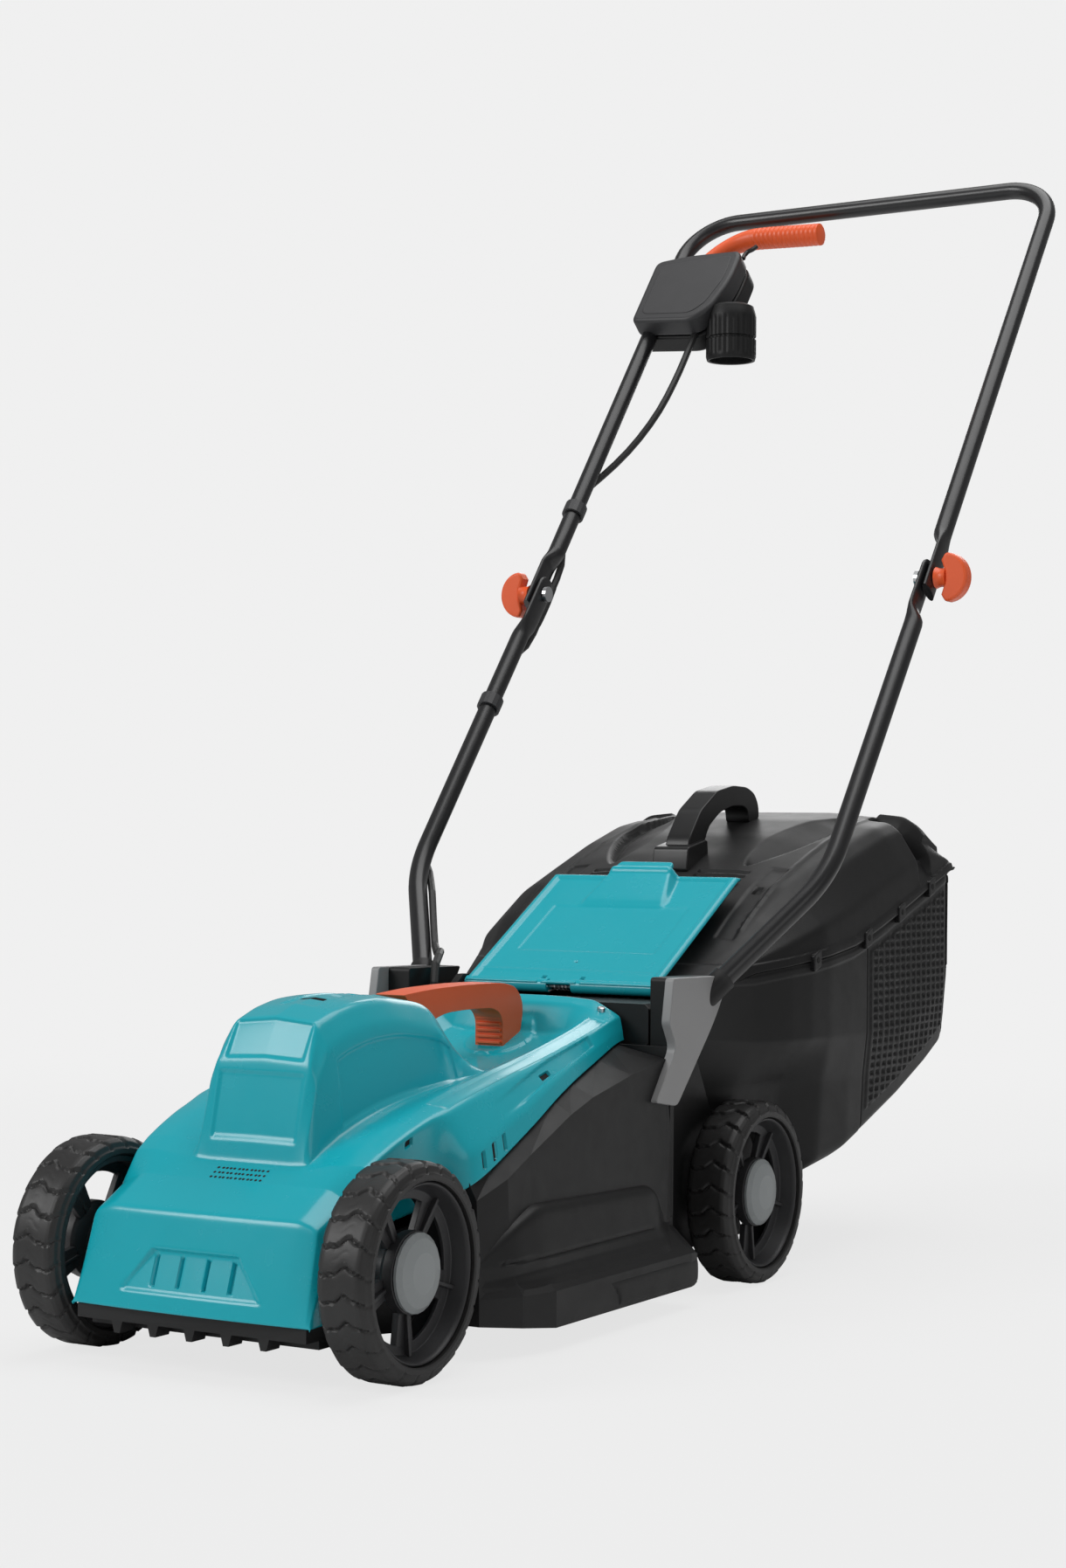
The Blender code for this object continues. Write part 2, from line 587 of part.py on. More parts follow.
# ---- wheels and axles -----------------------------------------------------------------------------------
def build_wheel(label, side, track, station):
    x = side * (track - WHEEL_WIDTH) / 2
    place = sideways(x, station, WHEEL_RADIUS, side)
    half = WHEEL_WIDTH / 2
    seat = RIM_RADIUS + GAP
    tyre = turned("tyre_" + label, [(seat, half), (WHEEL_RADIUS - 0.005, half), (WHEEL_RADIUS, half - 0.005),
                                    (WHEEL_RADIUS, 0.005 - half), (WHEEL_RADIUS - 0.005, -half), (seat, -half)],
                  place, (BLACK, 0.7), steps=40)
    bore = AXLE_RADIUS + GAP
    inner = RIM_RADIUS - RIM_WALL
    rim_half = RIM_WIDTH / 2
    rim = turned("rim_" + label, [(RIM_RADIUS, rim_half), (RIM_RADIUS, -rim_half), (inner, -rim_half),
                                  (inner, WEB_LOW), (HUB_RADIUS, WEB_LOW), (HUB_RADIUS, -HUB_INNER),
                                  (bore, -HUB_INNER), (bore, HUB_OUTER), (HUB_RADIUS, HUB_OUTER),
                                  (HUB_RADIUS, WEB_HIGH), (inner, WEB_HIGH), (inner, rim_half)],
                 place, (DARK_GREY, 0.5), steps=24)
    ring = (HUB_RADIUS + inner) / 2
    for i in range(SPOKES):
        turn = math.tau * i / SPOKES
        middle = Vector((ring * math.cos(turn), ring * math.sin(turn), 0))
        window = cylinder("window_" + label, WINDOW_RADIUS, place @ (middle + Vector((0, 0, 0.02))),
                          place @ (middle - Vector((0, 0, 0.02))), sides=12)
        cut(rim, window)
    seat_z = HUB_OUTER + GAP
    pocket = AXLE_HEAD_RADIUS + SLACK
    cap = turned("hub_cap_" + label,
                 [(0, seat_z + CAP_HEIGHT), (0.015, seat_z + CAP_HEIGHT - 0.0006),
                  (0.025, seat_z + CAP_HEIGHT - 0.0030), (CAP_RADIUS, seat_z + 0.0022), (CAP_RADIUS, seat_z),
                  (pocket, seat_z), (pocket, seat_z + AXLE_HEAD_LENGTH + 2 * GAP),
                  (0, seat_z + AXLE_HEAD_LENGTH + 2 * GAP)], place, (CAP_GREY, 0.4), closed=False)
    return pivot("wheel_" + label + "_spin", at(x, station, WHEEL_RADIUS), tyre, rim, cap)


def build_axle(name, track, station, deck_half_width):
    """A rod with a head at each end and a collar on each side that keeps the wheel off the deck."""
    middle = (track - WHEEL_WIDTH) / 2
    end = middle + HUB_OUTER + GAP + AXLE_HEAD_LENGTH
    head = end - AXLE_HEAD_LENGTH
    collar_out = middle - HUB_INNER - GAP
    collar_in = deck_half_width + GAP
    half = [(0, end), (AXLE_HEAD_RADIUS, end), (AXLE_HEAD_RADIUS, head), (AXLE_RADIUS, head),
            (AXLE_RADIUS, collar_out), (0.008, collar_out), (0.008, collar_in), (AXLE_RADIUS, collar_in)]
    profile = half + [(radius, -x) for radius, x in reversed(half)]
    rod = turned(name, profile, sideways(0, station, WHEEL_RADIUS, 1), (STEEL, 0.3, 1.0), steps=20, closed=False)
    return rod


# ---- motor and blade ------------------------------------------------------------------------------------
def build_motor():
    place = upright(MOTOR_STATION)
    base = CHAMBER_TOP + WALL + 0.001 + GAP
    seat = 0.0012                                   # metal under the bearing
    pocket = BEARING_RADIUS + GAP
    eye = SHAFT_RADIUS + 0.003
    flange = STATOR_RADIUS + SLACK
    stator_low = base + END_PLATE + GAP
    stator_high = stator_low + STATOR_HEIGHT
    top = stator_high + GAP
    silver, dark = (STEEL, 0.45, 0.9), (DARK_GREY, 0.5)
    turned("motor_lower_bracket", [(flange, base + END_PLATE), (flange, base), (eye, base), (eye, base + seat),
                                   (pocket, base + seat), (pocket, base + END_PLATE)], place, silver)
    turned("motor_stator", [(STATOR_RADIUS, stator_high), (STATOR_RADIUS, stator_low), (STATOR_BORE, stator_low),
                            (STATOR_BORE, stator_high)], place, (COPPER, 0.5, 0.6))
    turned("motor_upper_bracket", [(flange, top + END_PLATE), (flange, top), (pocket, top),
                                   (pocket, top + END_PLATE - seat), (eye, top + END_PLATE - seat),
                                   (eye, top + END_PLATE)], place, silver)
    lower_seat = base + seat + GAP
    upper_seat = top + END_PLATE - seat - GAP - BEARING_HEIGHT
    for name, low in (("bearing_lower", lower_seat), ("bearing_upper", upper_seat)):
        turned(name, [(BEARING_RADIUS, low + BEARING_HEIGHT), (BEARING_RADIUS, low), (SHAFT_RADIUS + GAP, low),
                      (SHAFT_RADIUS + GAP, low + BEARING_HEIGHT)], place, (STEEL, 0.25, 1.0), steps=16)
    cap_height = base + CAPACITOR_RADIUS
    cylinder("run_capacitor", CAPACITOR_RADIUS, at(-CAPACITOR_LENGTH / 2, 0.098, cap_height),
             at(CAPACITOR_LENGTH / 2, 0.098, cap_height), (MID_GREY, 0.4), sides=16)

    blade_top = BLADE_HEIGHT + BLADE_THICKNESS
    shaft_low = blade_top + 0.002
    hole = BOLT_RADIUS + 0.001 + GAP
    core = STATOR_BORE - SLACK
    core_low, core_high = stator_low + 0.004, stator_high - 0.004
    rotor = turned("rotor", [(0, top + END_PLATE - seat), (SHAFT_RADIUS, top + END_PLATE - seat),
                             (SHAFT_RADIUS, core_high), (core, core_high), (core, core_low),
                             (SHAFT_RADIUS, core_low), (SHAFT_RADIUS, shaft_low), (hole, shaft_low),
                             (hole, shaft_low + 0.012), (0, shaft_low + 0.012)], place, dark, closed=False)
    boss, fan = 0.018, 0.055
    low, high = blade_top + GAP, 0.0620
    carrier = turned("blade_carrier", [(fan, high), (fan, high - 0.003), (boss, high - 0.003), (boss, low),
                                       (SHAFT_RADIUS + GAP, low), (SHAFT_RADIUS + GAP, high)], place,
                     (DARK_GREY, 0.5))
    centre = at(0, MOTOR_STATION, 0)
    blade = block("blade", centre + Vector((-BLADE_RADIUS, -BLADE_WIDTH / 2, BLADE_HEIGHT)),
                  centre + Vector((BLADE_RADIUS, BLADE_WIDTH / 2, blade_top)), (STEEL, 0.35, 1.0))
    rounding = blade.modifiers.new("Bevel", "BEVEL")
    rounding.width = 0.0008
    rounding.segments = 1
    cut(blade, cylinder("blade_hole", hole, centre, centre + Vector((0, 0, 0.1)), sides=16))
    bolt_low, bolt_high = BLADE_HEIGHT - GAP, shaft_low + 0.0115
    bolt = cylinder("blade_bolt", 0.011, centre + Vector((0, 0, bolt_low - 0.008)),
                    centre + Vector((0, 0, bolt_low)), (STEEL, 0.35, 1.0), sides=6)
    join(bolt, cylinder("bolt_shank", hole - GAP, centre + Vector((0, 0, bolt_low - 0.004)),
                        centre + Vector((0, 0, bolt_high)), sides=16))
    pivot("rotor_spin", centre, rotor, carrier, blade, bolt)


# ---- carry handle ---------------------------------------------------------------------------------------
def build_carry_handle():
    """A strap handle from the dome's rear slope to the rear of the bowl."""
    outline = [(0.1912, 0.2640), (0.230, 0.2668), (0.290, 0.2682), (0.345, 0.2672), (0.366, 0.2628),
               (0.3765, 0.2520), (0.3780, 0.2400), (0.3735, 0.2228), (0.3450, 0.2118), (0.3450, 0.2340),
               (0.3400, 0.2420), (0.3280, 0.2465), (0.290, 0.2475), (0.250, 0.2460), (0.2222, 0.2366)]
    handle = profile_plate("carry_handle", outline, -0.014, 0.014, (ORANGE, 0.35))
    rounding = handle.modifiers.new("Bevel", "BEVEL")
    rounding.width = 0.004
    rounding.segments = 2
    rounding.limit_method = "ANGLE"
    rounding.angle_limit = math.radians(60)
    return handle


# ---- handle tubes and brackets --------------------------------------------------------------------------
LEG_FOOT = Vector(FOOT)
LEG_KNEE = Vector((HALF_SPREAD, KNEE_STATION, KNEE_HEIGHT))
SOCKET_DEPTH = 0.040
BRACKET_OUTLINE = [(0.392, 0.2735), (0.497, 0.2720), (0.4700, 0.2350), (0.4000, 0.1660), (0.3620, 0.1720),
                   (0.3980, 0.2150), (0.3850, 0.2360)]
BRACKET_INNER_OUTLINE = [(0.4070, 0.2735), (0.4970, 0.2720), (0.4700, 0.2350), (0.4250, 0.1900),
                         (0.4070, 0.1800)]


def mirrored(point, side):
    """A (x, station, height) point on the left, or its copy on the right, in the world."""
    return at(side * point[0], point[1], point[2])


def leg_direction():
    return (LEG_FOOT - LEG_KNEE).normalized()


def build_bracket(label, side):
    top = LEG_FOOT - leg_direction() * 0.002
    bottom = LEG_FOOT + leg_direction() * SOCKET_DEPTH
    inner = REAR_HALF + GAP
    bracket = profile_plate("handle_bracket_" + label, BRACKET_OUTLINE,
                            *sorted((side * (BRACKET_OUTER - 0.005), side * BRACKET_OUTER)), (MID_GREY, 0.45))
    join(bracket, profile_plate("bracket_body_" + label, BRACKET_INNER_OUTLINE,
                                *sorted((side * inner, side * (BRACKET_OUTER - 0.0005)))))
    join(bracket, cylinder("socket_" + label, TUBE_RADIUS + 0.0035, mirrored(top, side),
                           mirrored(bottom + leg_direction() * 0.003, side), sides=20))
    cut(bracket, cylinder("socket_bore_" + label, TUBE_RADIUS + GAP, mirrored(top - leg_direction() * 0.03, side),
                          mirrored(bottom + leg_direction() * GAP, side), sides=20),
        block("bracket_face_" + label, at(-REAR_HALF - GAP, 0.39, 0.1), at(REAR_HALF + GAP, 0.55, 0.32)))
    return bracket


def leg_path():
    """The middle line of a left lower tube, from its foot in the bracket to its flattened end."""
    fold = Vector((HALF_SPREAD, FOLD_STATION, FOLD_HEIGHT))
    up = (fold - LEG_KNEE).normalized()
    bend = 0.030
    path = [LEG_FOOT + leg_direction() * SOCKET_DEPTH, LEG_FOOT]
    before, after = LEG_KNEE + leg_direction() * bend, LEG_KNEE + up * bend
    for step in range(5):
        t = step / 4
        path.append(before * (1 - t) ** 2 + LEG_KNEE * 2 * t * (1 - t) + after * t ** 2)
    shift = Vector((-(FLAT_THICKNESS + GAP) / 2, 0, 0))
    return path + [fold - up * 0.060, fold - up * 0.040 + shift, fold + shift, fold + up * 0.018 + shift]


def build_lower_handle(label, side):
    path = leg_path()
    round_section, flat = (TUBE_RADIUS, TUBE_RADIUS), (FLAT_THICKNESS / 2, FLAT_HALF_WIDTH)
    radii = [round_section] * (len(path) - 3) + [flat] * 3
    tube = sweep("lower_handle_" + label, [mirrored(point, side) for point in path], radii, PLANE_NORMAL,
                 (BLACK, 0.35))
    cut(tube, bolt_bore(label, side))
    return tube


def bolt_bore(label, side):
    return cylinder("bolt_bore_" + label, BOLT_RADIUS + GAP, at(side * 0.19, FOLD_STATION, FOLD_HEIGHT),
                    at(side * 0.23, FOLD_STATION, FOLD_HEIGHT), sides=12)


def build_upper_handle():
    shift = (FLAT_THICKNESS + GAP) / 2
    flat, round_section = (FLAT_THICKNESS / 2, FLAT_HALF_WIDTH), (TUBE_RADIUS, TUBE_RADIUS)
    low = UPPER_LENGTH
    half = [(HALF_SPREAD + shift, low + 0.018, flat), (HALF_SPREAD + shift, low, flat),
            (HALF_SPREAD + shift, low - 0.040, flat), (HALF_SPREAD, low - 0.060, round_section)]
    corner_x, corner_down = HALF_SPREAD - BAR_CORNER, BAR_CORNER
    for step in range(7):
        turn = math.radians(90 * step / 6)
        half.append((corner_x + BAR_CORNER * math.cos(turn), corner_down - BAR_CORNER * math.sin(turn),
                     round_section))
    points = half + [(-x, down, section) for x, down, section in reversed(half)]
    tube = sweep("upper_handle", [on_handle(x, down) for x, down, _ in points],
                 [section for _, _, section in points], PLANE_NORMAL, (BLACK, 0.35))
    for label, side in SIDES:
        cut(tube, bolt_bore(label + "_upper", side))
    return tube


SIDES = (("left", 1), ("right", -1))


def build_clamp(label, side):
    """A carriage bolt through both flattened tube ends, and the wing knob that clamps them."""
    flat_inner = HALF_SPREAD - FLAT_THICKNESS - GAP / 2
    flat_outer = HALF_SPREAD + FLAT_THICKNESS + GAP / 2
    head_low, head_high = flat_inner - GAP - 0.004, flat_inner - GAP

    def on_axis(x):
        return at(side * x, FOLD_STATION, FOLD_HEIGHT)

    bolt = cylinder("clamp_bolt_" + label, 0.008, on_axis(head_low), on_axis(head_high), (STEEL, 0.3, 1.0),
                    sides=16)
    join(bolt, cylinder("bolt_shank_" + label, BOLT_RADIUS, on_axis(head_low + 0.002), on_axis(BOLT_END), sides=12))
    knob_low = flat_outer + GAP
    wing_low = knob_low + 0.007
    arc = [math.radians(-90 + 180 * i / 12) for i in range(13)]
    outline = [(side * (wing_low + 0.004 + KNOB_DEPTH * math.cos(a)), KNOB_RADIUS * math.sin(a)) for a in arc]
    outline += [(side * wing_low, KNOB_RADIUS - 0.006), (side * wing_low, 0.006 - KNOB_RADIUS)]
    knob = loft("wing_knob_" + label, [[at(x, FOLD_STATION + depth, FOLD_HEIGHT + rise) for x, rise in outline]
                                       for depth in (-KNOB_HALF, KNOB_HALF)], (ORANGE, 0.4))
    join(knob, cylinder("knob_hub_" + label, 0.0105, on_axis(knob_low), on_axis(wing_low + 0.006), sides=16))
    cut(knob, cylinder("knob_bore_" + label, BOLT_RADIUS + GAP, on_axis(0.2), on_axis(BOLT_END + 0.0005),
                       sides=12))
    pivot("knob_" + label + "_turn", at(side * HALF_SPREAD, FOLD_STATION, FOLD_HEIGHT), knob)
    return bolt


# ---- switch box -----------------------------------------------------------------------------------------
BOX_TOP, BOX_BOTTOM = 0.077, 0.190       # distances below the grip bar
BOX_OUTER, BOX_INNER = -0.230, -0.122
LEVER_PIVOT_X, LEVER_PIVOT_DOWN = -0.190, 0.092
BUTTON_X = -0.144
CABLE_X = -0.158
INLET_X, INLET_DOWN, INLET_OUT = -0.123, 0.1964, 0.0328      # the middle of the inlet's lower end
INLET_LENGTH = 0.062
INLET_WALL = 0.003
INLET_DEPTH = 0.034


def build_switch_box():
    outline = [(BOX_OUTER, BOX_TOP), (BOX_INNER - 0.004, BOX_TOP), (BOX_INNER, BOX_TOP + 0.006),
               (BOX_INNER, 0.130), (BOX_INNER - 0.012, 0.172), (BOX_INNER - 0.030, BOX_BOTTOM),
               (BOX_OUTER, BOX_BOTTOM - 0.008)]
    tube_x = -HALF_SPREAD
    cover = handle_plate("switch_box_cover", outline, -0.026, -GAP / 2, (DARK_GREY, 0.45))
    base = handle_plate("switch_box_base", outline, GAP / 2, 0.024, (BLACK, 0.5))
    bore = cylinder("handle_bore", TUBE_RADIUS + GAP, on_handle(tube_x, 0.055), on_handle(tube_x, 0.25), sides=16)
    inlet_low = on_handle(INLET_X, INLET_DOWN, INLET_OUT)
    seat = cylinder("inlet_seat", INLET_RADIUS + GAP, inlet_low - Vector((0, 0, 0.03)),
                    inlet_low + Vector((0, 0, INLET_LENGTH + GAP)), sides=24)
    lever_room = handle_block("lever_room", (LEVER_PIVOT_X - 0.016, LEVER_PIVOT_X + 0.021),
                              (0.05, LEVER_PIVOT_DOWN + 0.013), (-0.0140, 0.0140))
    pin_room = cylinder("lever_pin_room", 0.004 + GAP, on_handle(LEVER_PIVOT_X, LEVER_PIVOT_DOWN, -0.020),
                        on_handle(LEVER_PIVOT_X, LEVER_PIVOT_DOWN, 0.020), sides=12)
    button_room = cylinder("button_room", 0.007 + GAP, on_handle(BUTTON_X, 0.05), on_handle(BUTTON_X, 0.094),
                           sides=16)
    switch_room = handle_block("switch_room", (-0.176, -0.152), (0.110, 0.140), (-0.010, 0.010))
    cable_room = cylinder("cable_room", CABLE_RADIUS + GAP, on_handle(CABLE_X, 0.165), on_handle(CABLE_X, 0.25),
                          sides=12)
    for half in (cover, base):
        cut(half, bore, seat, lever_room, pin_room, button_room, switch_room, cable_room)
    switch = handle_block("power_switch", (-0.1755, -0.1525), (0.1105, 0.1395), (-0.0095, 0.0095),
                          (MID_GREY, 0.5))
    bore = INLET_RADIUS - INLET_WALL
    inlet = turned("power_inlet", [(0, INLET_LENGTH), (INLET_RADIUS, INLET_LENGTH), (INLET_RADIUS, 0), (bore, 0),
                                   (bore, INLET_DEPTH), (0, INLET_DEPTH)],
                   Matrix.Translation(inlet_low), (BLACK, 0.5), closed=False)
    for offset in (-0.0095, 0.0095):
        foot = inlet_low + Vector((offset, 0, INLET_DEPTH + 0.004))
        join(inlet, cylinder("inlet_pin", 0.0024, foot, foot - Vector((0, 0, 0.026)), sides=10))
    hook_root = on_handle(-0.1285, BOX_TOP - GAP, -0.010)
    hook = wire("cord_hook", [hook_root, hook_root + UP_TUBE * 0.006, hook_root + UP_TUBE * 0.011
                              + Vector((0.002, 0, 0)), hook_root + UP_TUBE * 0.014 + Vector((0.007, 0, 0)),
                              hook_root + UP_TUBE * 0.019 + Vector((0.011, 0, 0))], 0.0026, (BLACK, 0.4))
    button = cylinder("lock_button", 0.007, on_handle(BUTTON_X, BOX_TOP + 0.0105), on_handle(BUTTON_X, 0.0645),
                      (BLACK, 0.35), sides=16)
    pivot("lock_button_slide", on_handle(BUTTON_X, BOX_TOP), button)
    return [cover, base, switch, inlet, hook]


def build_bail():
    """The one-sided switch lever, in the handle's plane."""
    route = [(LEVER_PIVOT_X, LEVER_PIVOT_DOWN, 0.009), (-0.188, 0.078, 0.009), (-0.180, 0.064, 0.010),
             (-0.168, 0.050, 0.011), (-0.153, 0.039, LEVER_RADIUS), (-0.136, 0.0335, LEVER_RADIUS),
             (-0.118, 0.0330, LEVER_RADIUS), (-0.048, 0.0370, LEVER_RADIUS), (-0.044, 0.0372, 0.0085)]
    lever = sweep("bail_lever", [on_handle(x, down) for x, down, _ in route],
                  [(radius * 0.9, radius) for _, _, radius in route], PLANE_NORMAL, (ORANGE, 0.4))
    join(lever, cylinder("lever_barrel", 0.0105, on_handle(LEVER_PIVOT_X, LEVER_PIVOT_DOWN, -0.0130),
                         on_handle(LEVER_PIVOT_X, LEVER_PIVOT_DOWN, 0.0130), sides=16),
         cylinder("lever_pin", 0.004, on_handle(LEVER_PIVOT_X, LEVER_PIVOT_DOWN, -0.0190),
                  on_handle(LEVER_PIVOT_X, LEVER_PIVOT_DOWN, 0.0190), sides=12))
    pivot("bail_turn", on_handle(LEVER_PIVOT_X, LEVER_PIVOT_DOWN), lever)


# ---- motor cable and its clips --------------------------------------------------------------------------
BESIDE = TUBE_RADIUS + CABLE_RADIUS + 0.0008       # from the tube's middle to the cable's
BEHIND_FLAT = FLAT_HALF_WIDTH + CABLE_RADIUS + 0.0010
CABLE_STEP = 0.019
FOLD_ROOM = 0.019            # the cable is left out this near the fold axis, where it bends
CLIP_DOWN = 0.450            # upper clip's distance below the grip bar
BEHIND = math.radians(128)   # round a tube from its inboard side: behind it and a little outboard


def round_tube(along, angle):
    """A unit vector square to a left tube, turned from inboard through the rear."""
    along = along.normalized()
    inward = (Vector((-1, 0, 0)) + along * along.x).normalized()
    rearward = inward.cross(along)
    if rearward.y < 0:
        rearward = -rearward
    return inward * math.cos(angle) + rearward * math.sin(angle)


def beside_leg(point, before, after, angle):
    """A point of the cable beside the lower tube, where the tube runs from one point to the next."""
    return point + round_tube(after - before, angle) * BESIDE


def build_cable():
    clipped = round_tube(UP_TUBE, BEHIND) * BESIDE
    out = clipped.dot(PLANE_NORMAL)
    x_clipped = -(HALF_SPREAD + clipped.x)
    upper = [on_handle(CABLE_X, 0.1665), on_handle(CABLE_X, 0.200), on_handle(CABLE_X - 0.001, 0.250, 0.001),
             on_handle(-0.166, 0.300, 0.004), on_handle(-0.184, 0.340, 0.011), on_handle(-0.206, 0.372, 0.0165),
             on_handle(-HALF_SPREAD - 0.004, 0.398, BESIDE + 0.0004)]
    upper += [on_handle(x_clipped, CLIP_DOWN + step, out) for step in (-0.025, 0.0, 0.025)]
    upper += [on_handle(-HALF_SPREAD, 0.515, BEHIND_FLAT - 0.001), on_handle(-HALF_SPREAD, 0.535, BEHIND_FLAT),
              on_handle(-HALF_SPREAD, UPPER_LENGTH - FOLD_ROOM, BEHIND_FLAT)]
    path = leg_path()[1:-3]
    fold = Vector((HALF_SPREAD, FOLD_STATION, FOLD_HEIGHT))
    up = (path[-1] - path[-2]).normalized()
    behind_flat = PLANE_NORMAL * BEHIND_FLAT
    lower = [fold - up * distance + behind_flat for distance in (FOLD_ROOM, 0.035, 0.052)]
    lower += [beside_leg(fold - up * distance, Vector(), up, BEHIND) for distance in (0.085, 0.140, 0.200)]
    bends = range(len(path) - 2, 0, -1)
    angles = [math.radians(angle) for angle in (110, 88, 66, 44, 22)]
    lower += [beside_leg(path[i], path[i - 1], path[i + 1], angle) for i, angle in zip(bends, angles)]
    leave = path[0] - leg_direction() * 0.020
    lower += [beside_leg(leave, path[0], path[1], 0), Vector((0.1290, 0.470, 0.2850)),
              Vector((0.1160, 0.442, 0.2770)), Vector((0.1100, 0.430, 0.2630)),
              Vector((0.1100, 0.430, REAR_TOP)), Vector((0.1100, 0.430, REAR_TOP - 0.010))]
    finish = (BLACK, 0.5)
    upper_cable = wire("motor_cable_upper", smooth_route(upper, CABLE_STEP), CABLE_RADIUS, finish)
    wire("motor_cable_lower", smooth_route([mirrored(point, -1) for point in lower], CABLE_STEP), CABLE_RADIUS,
         finish)
    return upper_cable


def build_clip(name, middle, along, across):
    """A clip round the handle tube and the cable beside it."""
    half = along * 0.007
    ring = cylinder(name, TUBE_RADIUS + 0.0028, middle - half, middle + half, (DARK_GREY, 0.5), sides=16)
    cable = middle + across * BESIDE
    join(ring, cylinder(name + "_lobe", CABLE_RADIUS + 0.0022, cable - half * 0.96, cable + half * 0.96, sides=12))
    cut(ring, cylinder(name + "_tube", TUBE_RADIUS + GAP, middle - half * 2, middle + half * 2, sides=16),
        cylinder(name + "_cable", CABLE_RADIUS + SLACK, cable - half * 2, cable + half * 2, sides=12))
    return ring


def build_clips():
    def across(along):
        """From the right tube's middle towards the cable."""
        left = round_tube(along, BEHIND)
        return Vector((-left.x, left.y, left.z))

    upper = build_clip("cable_clip_upper", on_handle(-HALF_SPREAD, CLIP_DOWN), UP_TUBE, across(UP_TUBE))
    fold = Vector((HALF_SPREAD, FOLD_STATION, FOLD_HEIGHT))
    up = (fold - LEG_KNEE).normalized()
    build_clip("cable_clip_lower", mirrored(fold - up * 0.150, -1), up, across(up))
    return upper


# ---- rear flap ------------------------------------------------------------------------------------------
SPRING_HALF = 0.011


def build_flap():
    rise = math.sin(MOUTH_SLOPE)
    reach = math.cos(MOUTH_SLOPE)
    top = BARREL_RADIUS

    def along(distance, height):
        """(station, height) of a point given along the flap and square to it, from the hinge."""
        return (HINGE_STATION + distance * reach - height * rise, HINGE_HEIGHT + distance * rise + height * reach)

    arc = [math.radians(90 + 225 * i / 8) for i in range(9)]
    outline = [along(BARREL_RADIUS * math.cos(a), BARREL_RADIUS * math.sin(a)) for a in arc]
    outline += [along(0.010, top - FLAP_THICKNESS), along(FLAP_LENGTH - 0.004, top - FLAP_THICKNESS),
                along(FLAP_LENGTH - 0.004, top - 0.009), along(FLAP_LENGTH, top - 0.009), along(FLAP_LENGTH, top)]
    flap = profile_plate("rear_flap", outline, -FLAP_HALF, FLAP_HALF, (TURQUOISE, 0.25))
    tab = [[(-0.040, 0.140), (0.040, 0.140)], [(-0.030, FLAP_LENGTH + 0.010), (0.030, FLAP_LENGTH + 0.010)]]
    rings = []
    for (left, right), height in ((tab[0], top - 0.001), (tab[1], top + 0.009)):
        rings.append([at(x, *along(distance, offset)) for x, distance in (left, right)
                      for offset in ((height - 0.004, height) if x < 0 else (height, height - 0.004))])
    join(flap, loft("grip_tab", rings))
    spring_room = block("spring_room", at(-SPRING_HALF, HINGE_STATION - 0.010, HINGE_HEIGHT - 0.010),
                        at(SPRING_HALF, HINGE_STATION + 0.0095, HINGE_HEIGHT + 0.012))
    bore = cylinder("flap_bore", PIN_RADIUS + GAP, at(-0.2, HINGE_STATION, HINGE_HEIGHT),
                    at(0.2, HINGE_STATION, HINGE_HEIGHT), sides=12)
    cut(flap, spring_room, bore)
    pivot("flap_turn", at(0, HINGE_STATION, HINGE_HEIGHT), flap)
    pin_end = EAR_HIGH + 0.003
    cylinder("flap_hinge_pin", PIN_RADIUS, at(-pin_end, HINGE_STATION, HINGE_HEIGHT),
             at(pin_end, HINGE_STATION, HINGE_HEIGHT), (STEEL, 0.3, 1.0), sides=12)
    turns, radius, wire_radius, per_turn = 4, 0.0037, 0.0007, 10
    points = []
    for i in range(turns * per_turn + 1):
        turn = math.tau * i / per_turn - math.pi / 2
        points.append(at(-0.0075 + 0.015 * i / (turns * per_turn), HINGE_STATION + radius * math.cos(turn),
                         HINGE_HEIGHT + radius * math.sin(turn)))
    points.insert(0, at(-0.0075, HINGE_STATION - 0.009, HINGE_HEIGHT - radius - 0.0005))
    wire("flap_spring", points, wire_radius, (STEEL, 0.3, 1.0), resolution=0)


# ---- grass box ------------------------------------------------------------------------------------------
# station: lower half width, upper half width, underside, seam height
TUB = [
    (0.600, (0.117, 0.160, 0.088, 0.2750)),
    (0.628, (0.122, 0.171, 0.082, 0.2790)),
    (0.660, (0.160, 0.175, 0.081, 0.2835)),
    (0.710, (0.168, 0.1755, 0.092, 0.2900)),
    (0.765, (0.170, 0.1755, 0.111, 0.3045)),
    (0.832, (0.170, 0.1750, 0.133, 0.3240)),
    (0.900, (0.169, 0.1740, 0.158, 0.3440)),
    (0.945, (0.167, 0.1720, 0.176, 0.3570)),
]
BOX_REAR = 0.9600
MOUTH_HALF = 0.113
WAIST = 0.168                # below this height the box passes between the rear wheels


def tub_half(station):
    lower, upper, bottom, seam = between(TUB, station)
    middle = lower + (upper - lower) * 0.35
    waist = max(WAIST, bottom + 0.030)
    return [(0.0, bottom), (lower - 0.020, bottom), (lower, bottom + 0.014), (middle, waist),
            (upper, waist + 0.040), (upper, seam)]


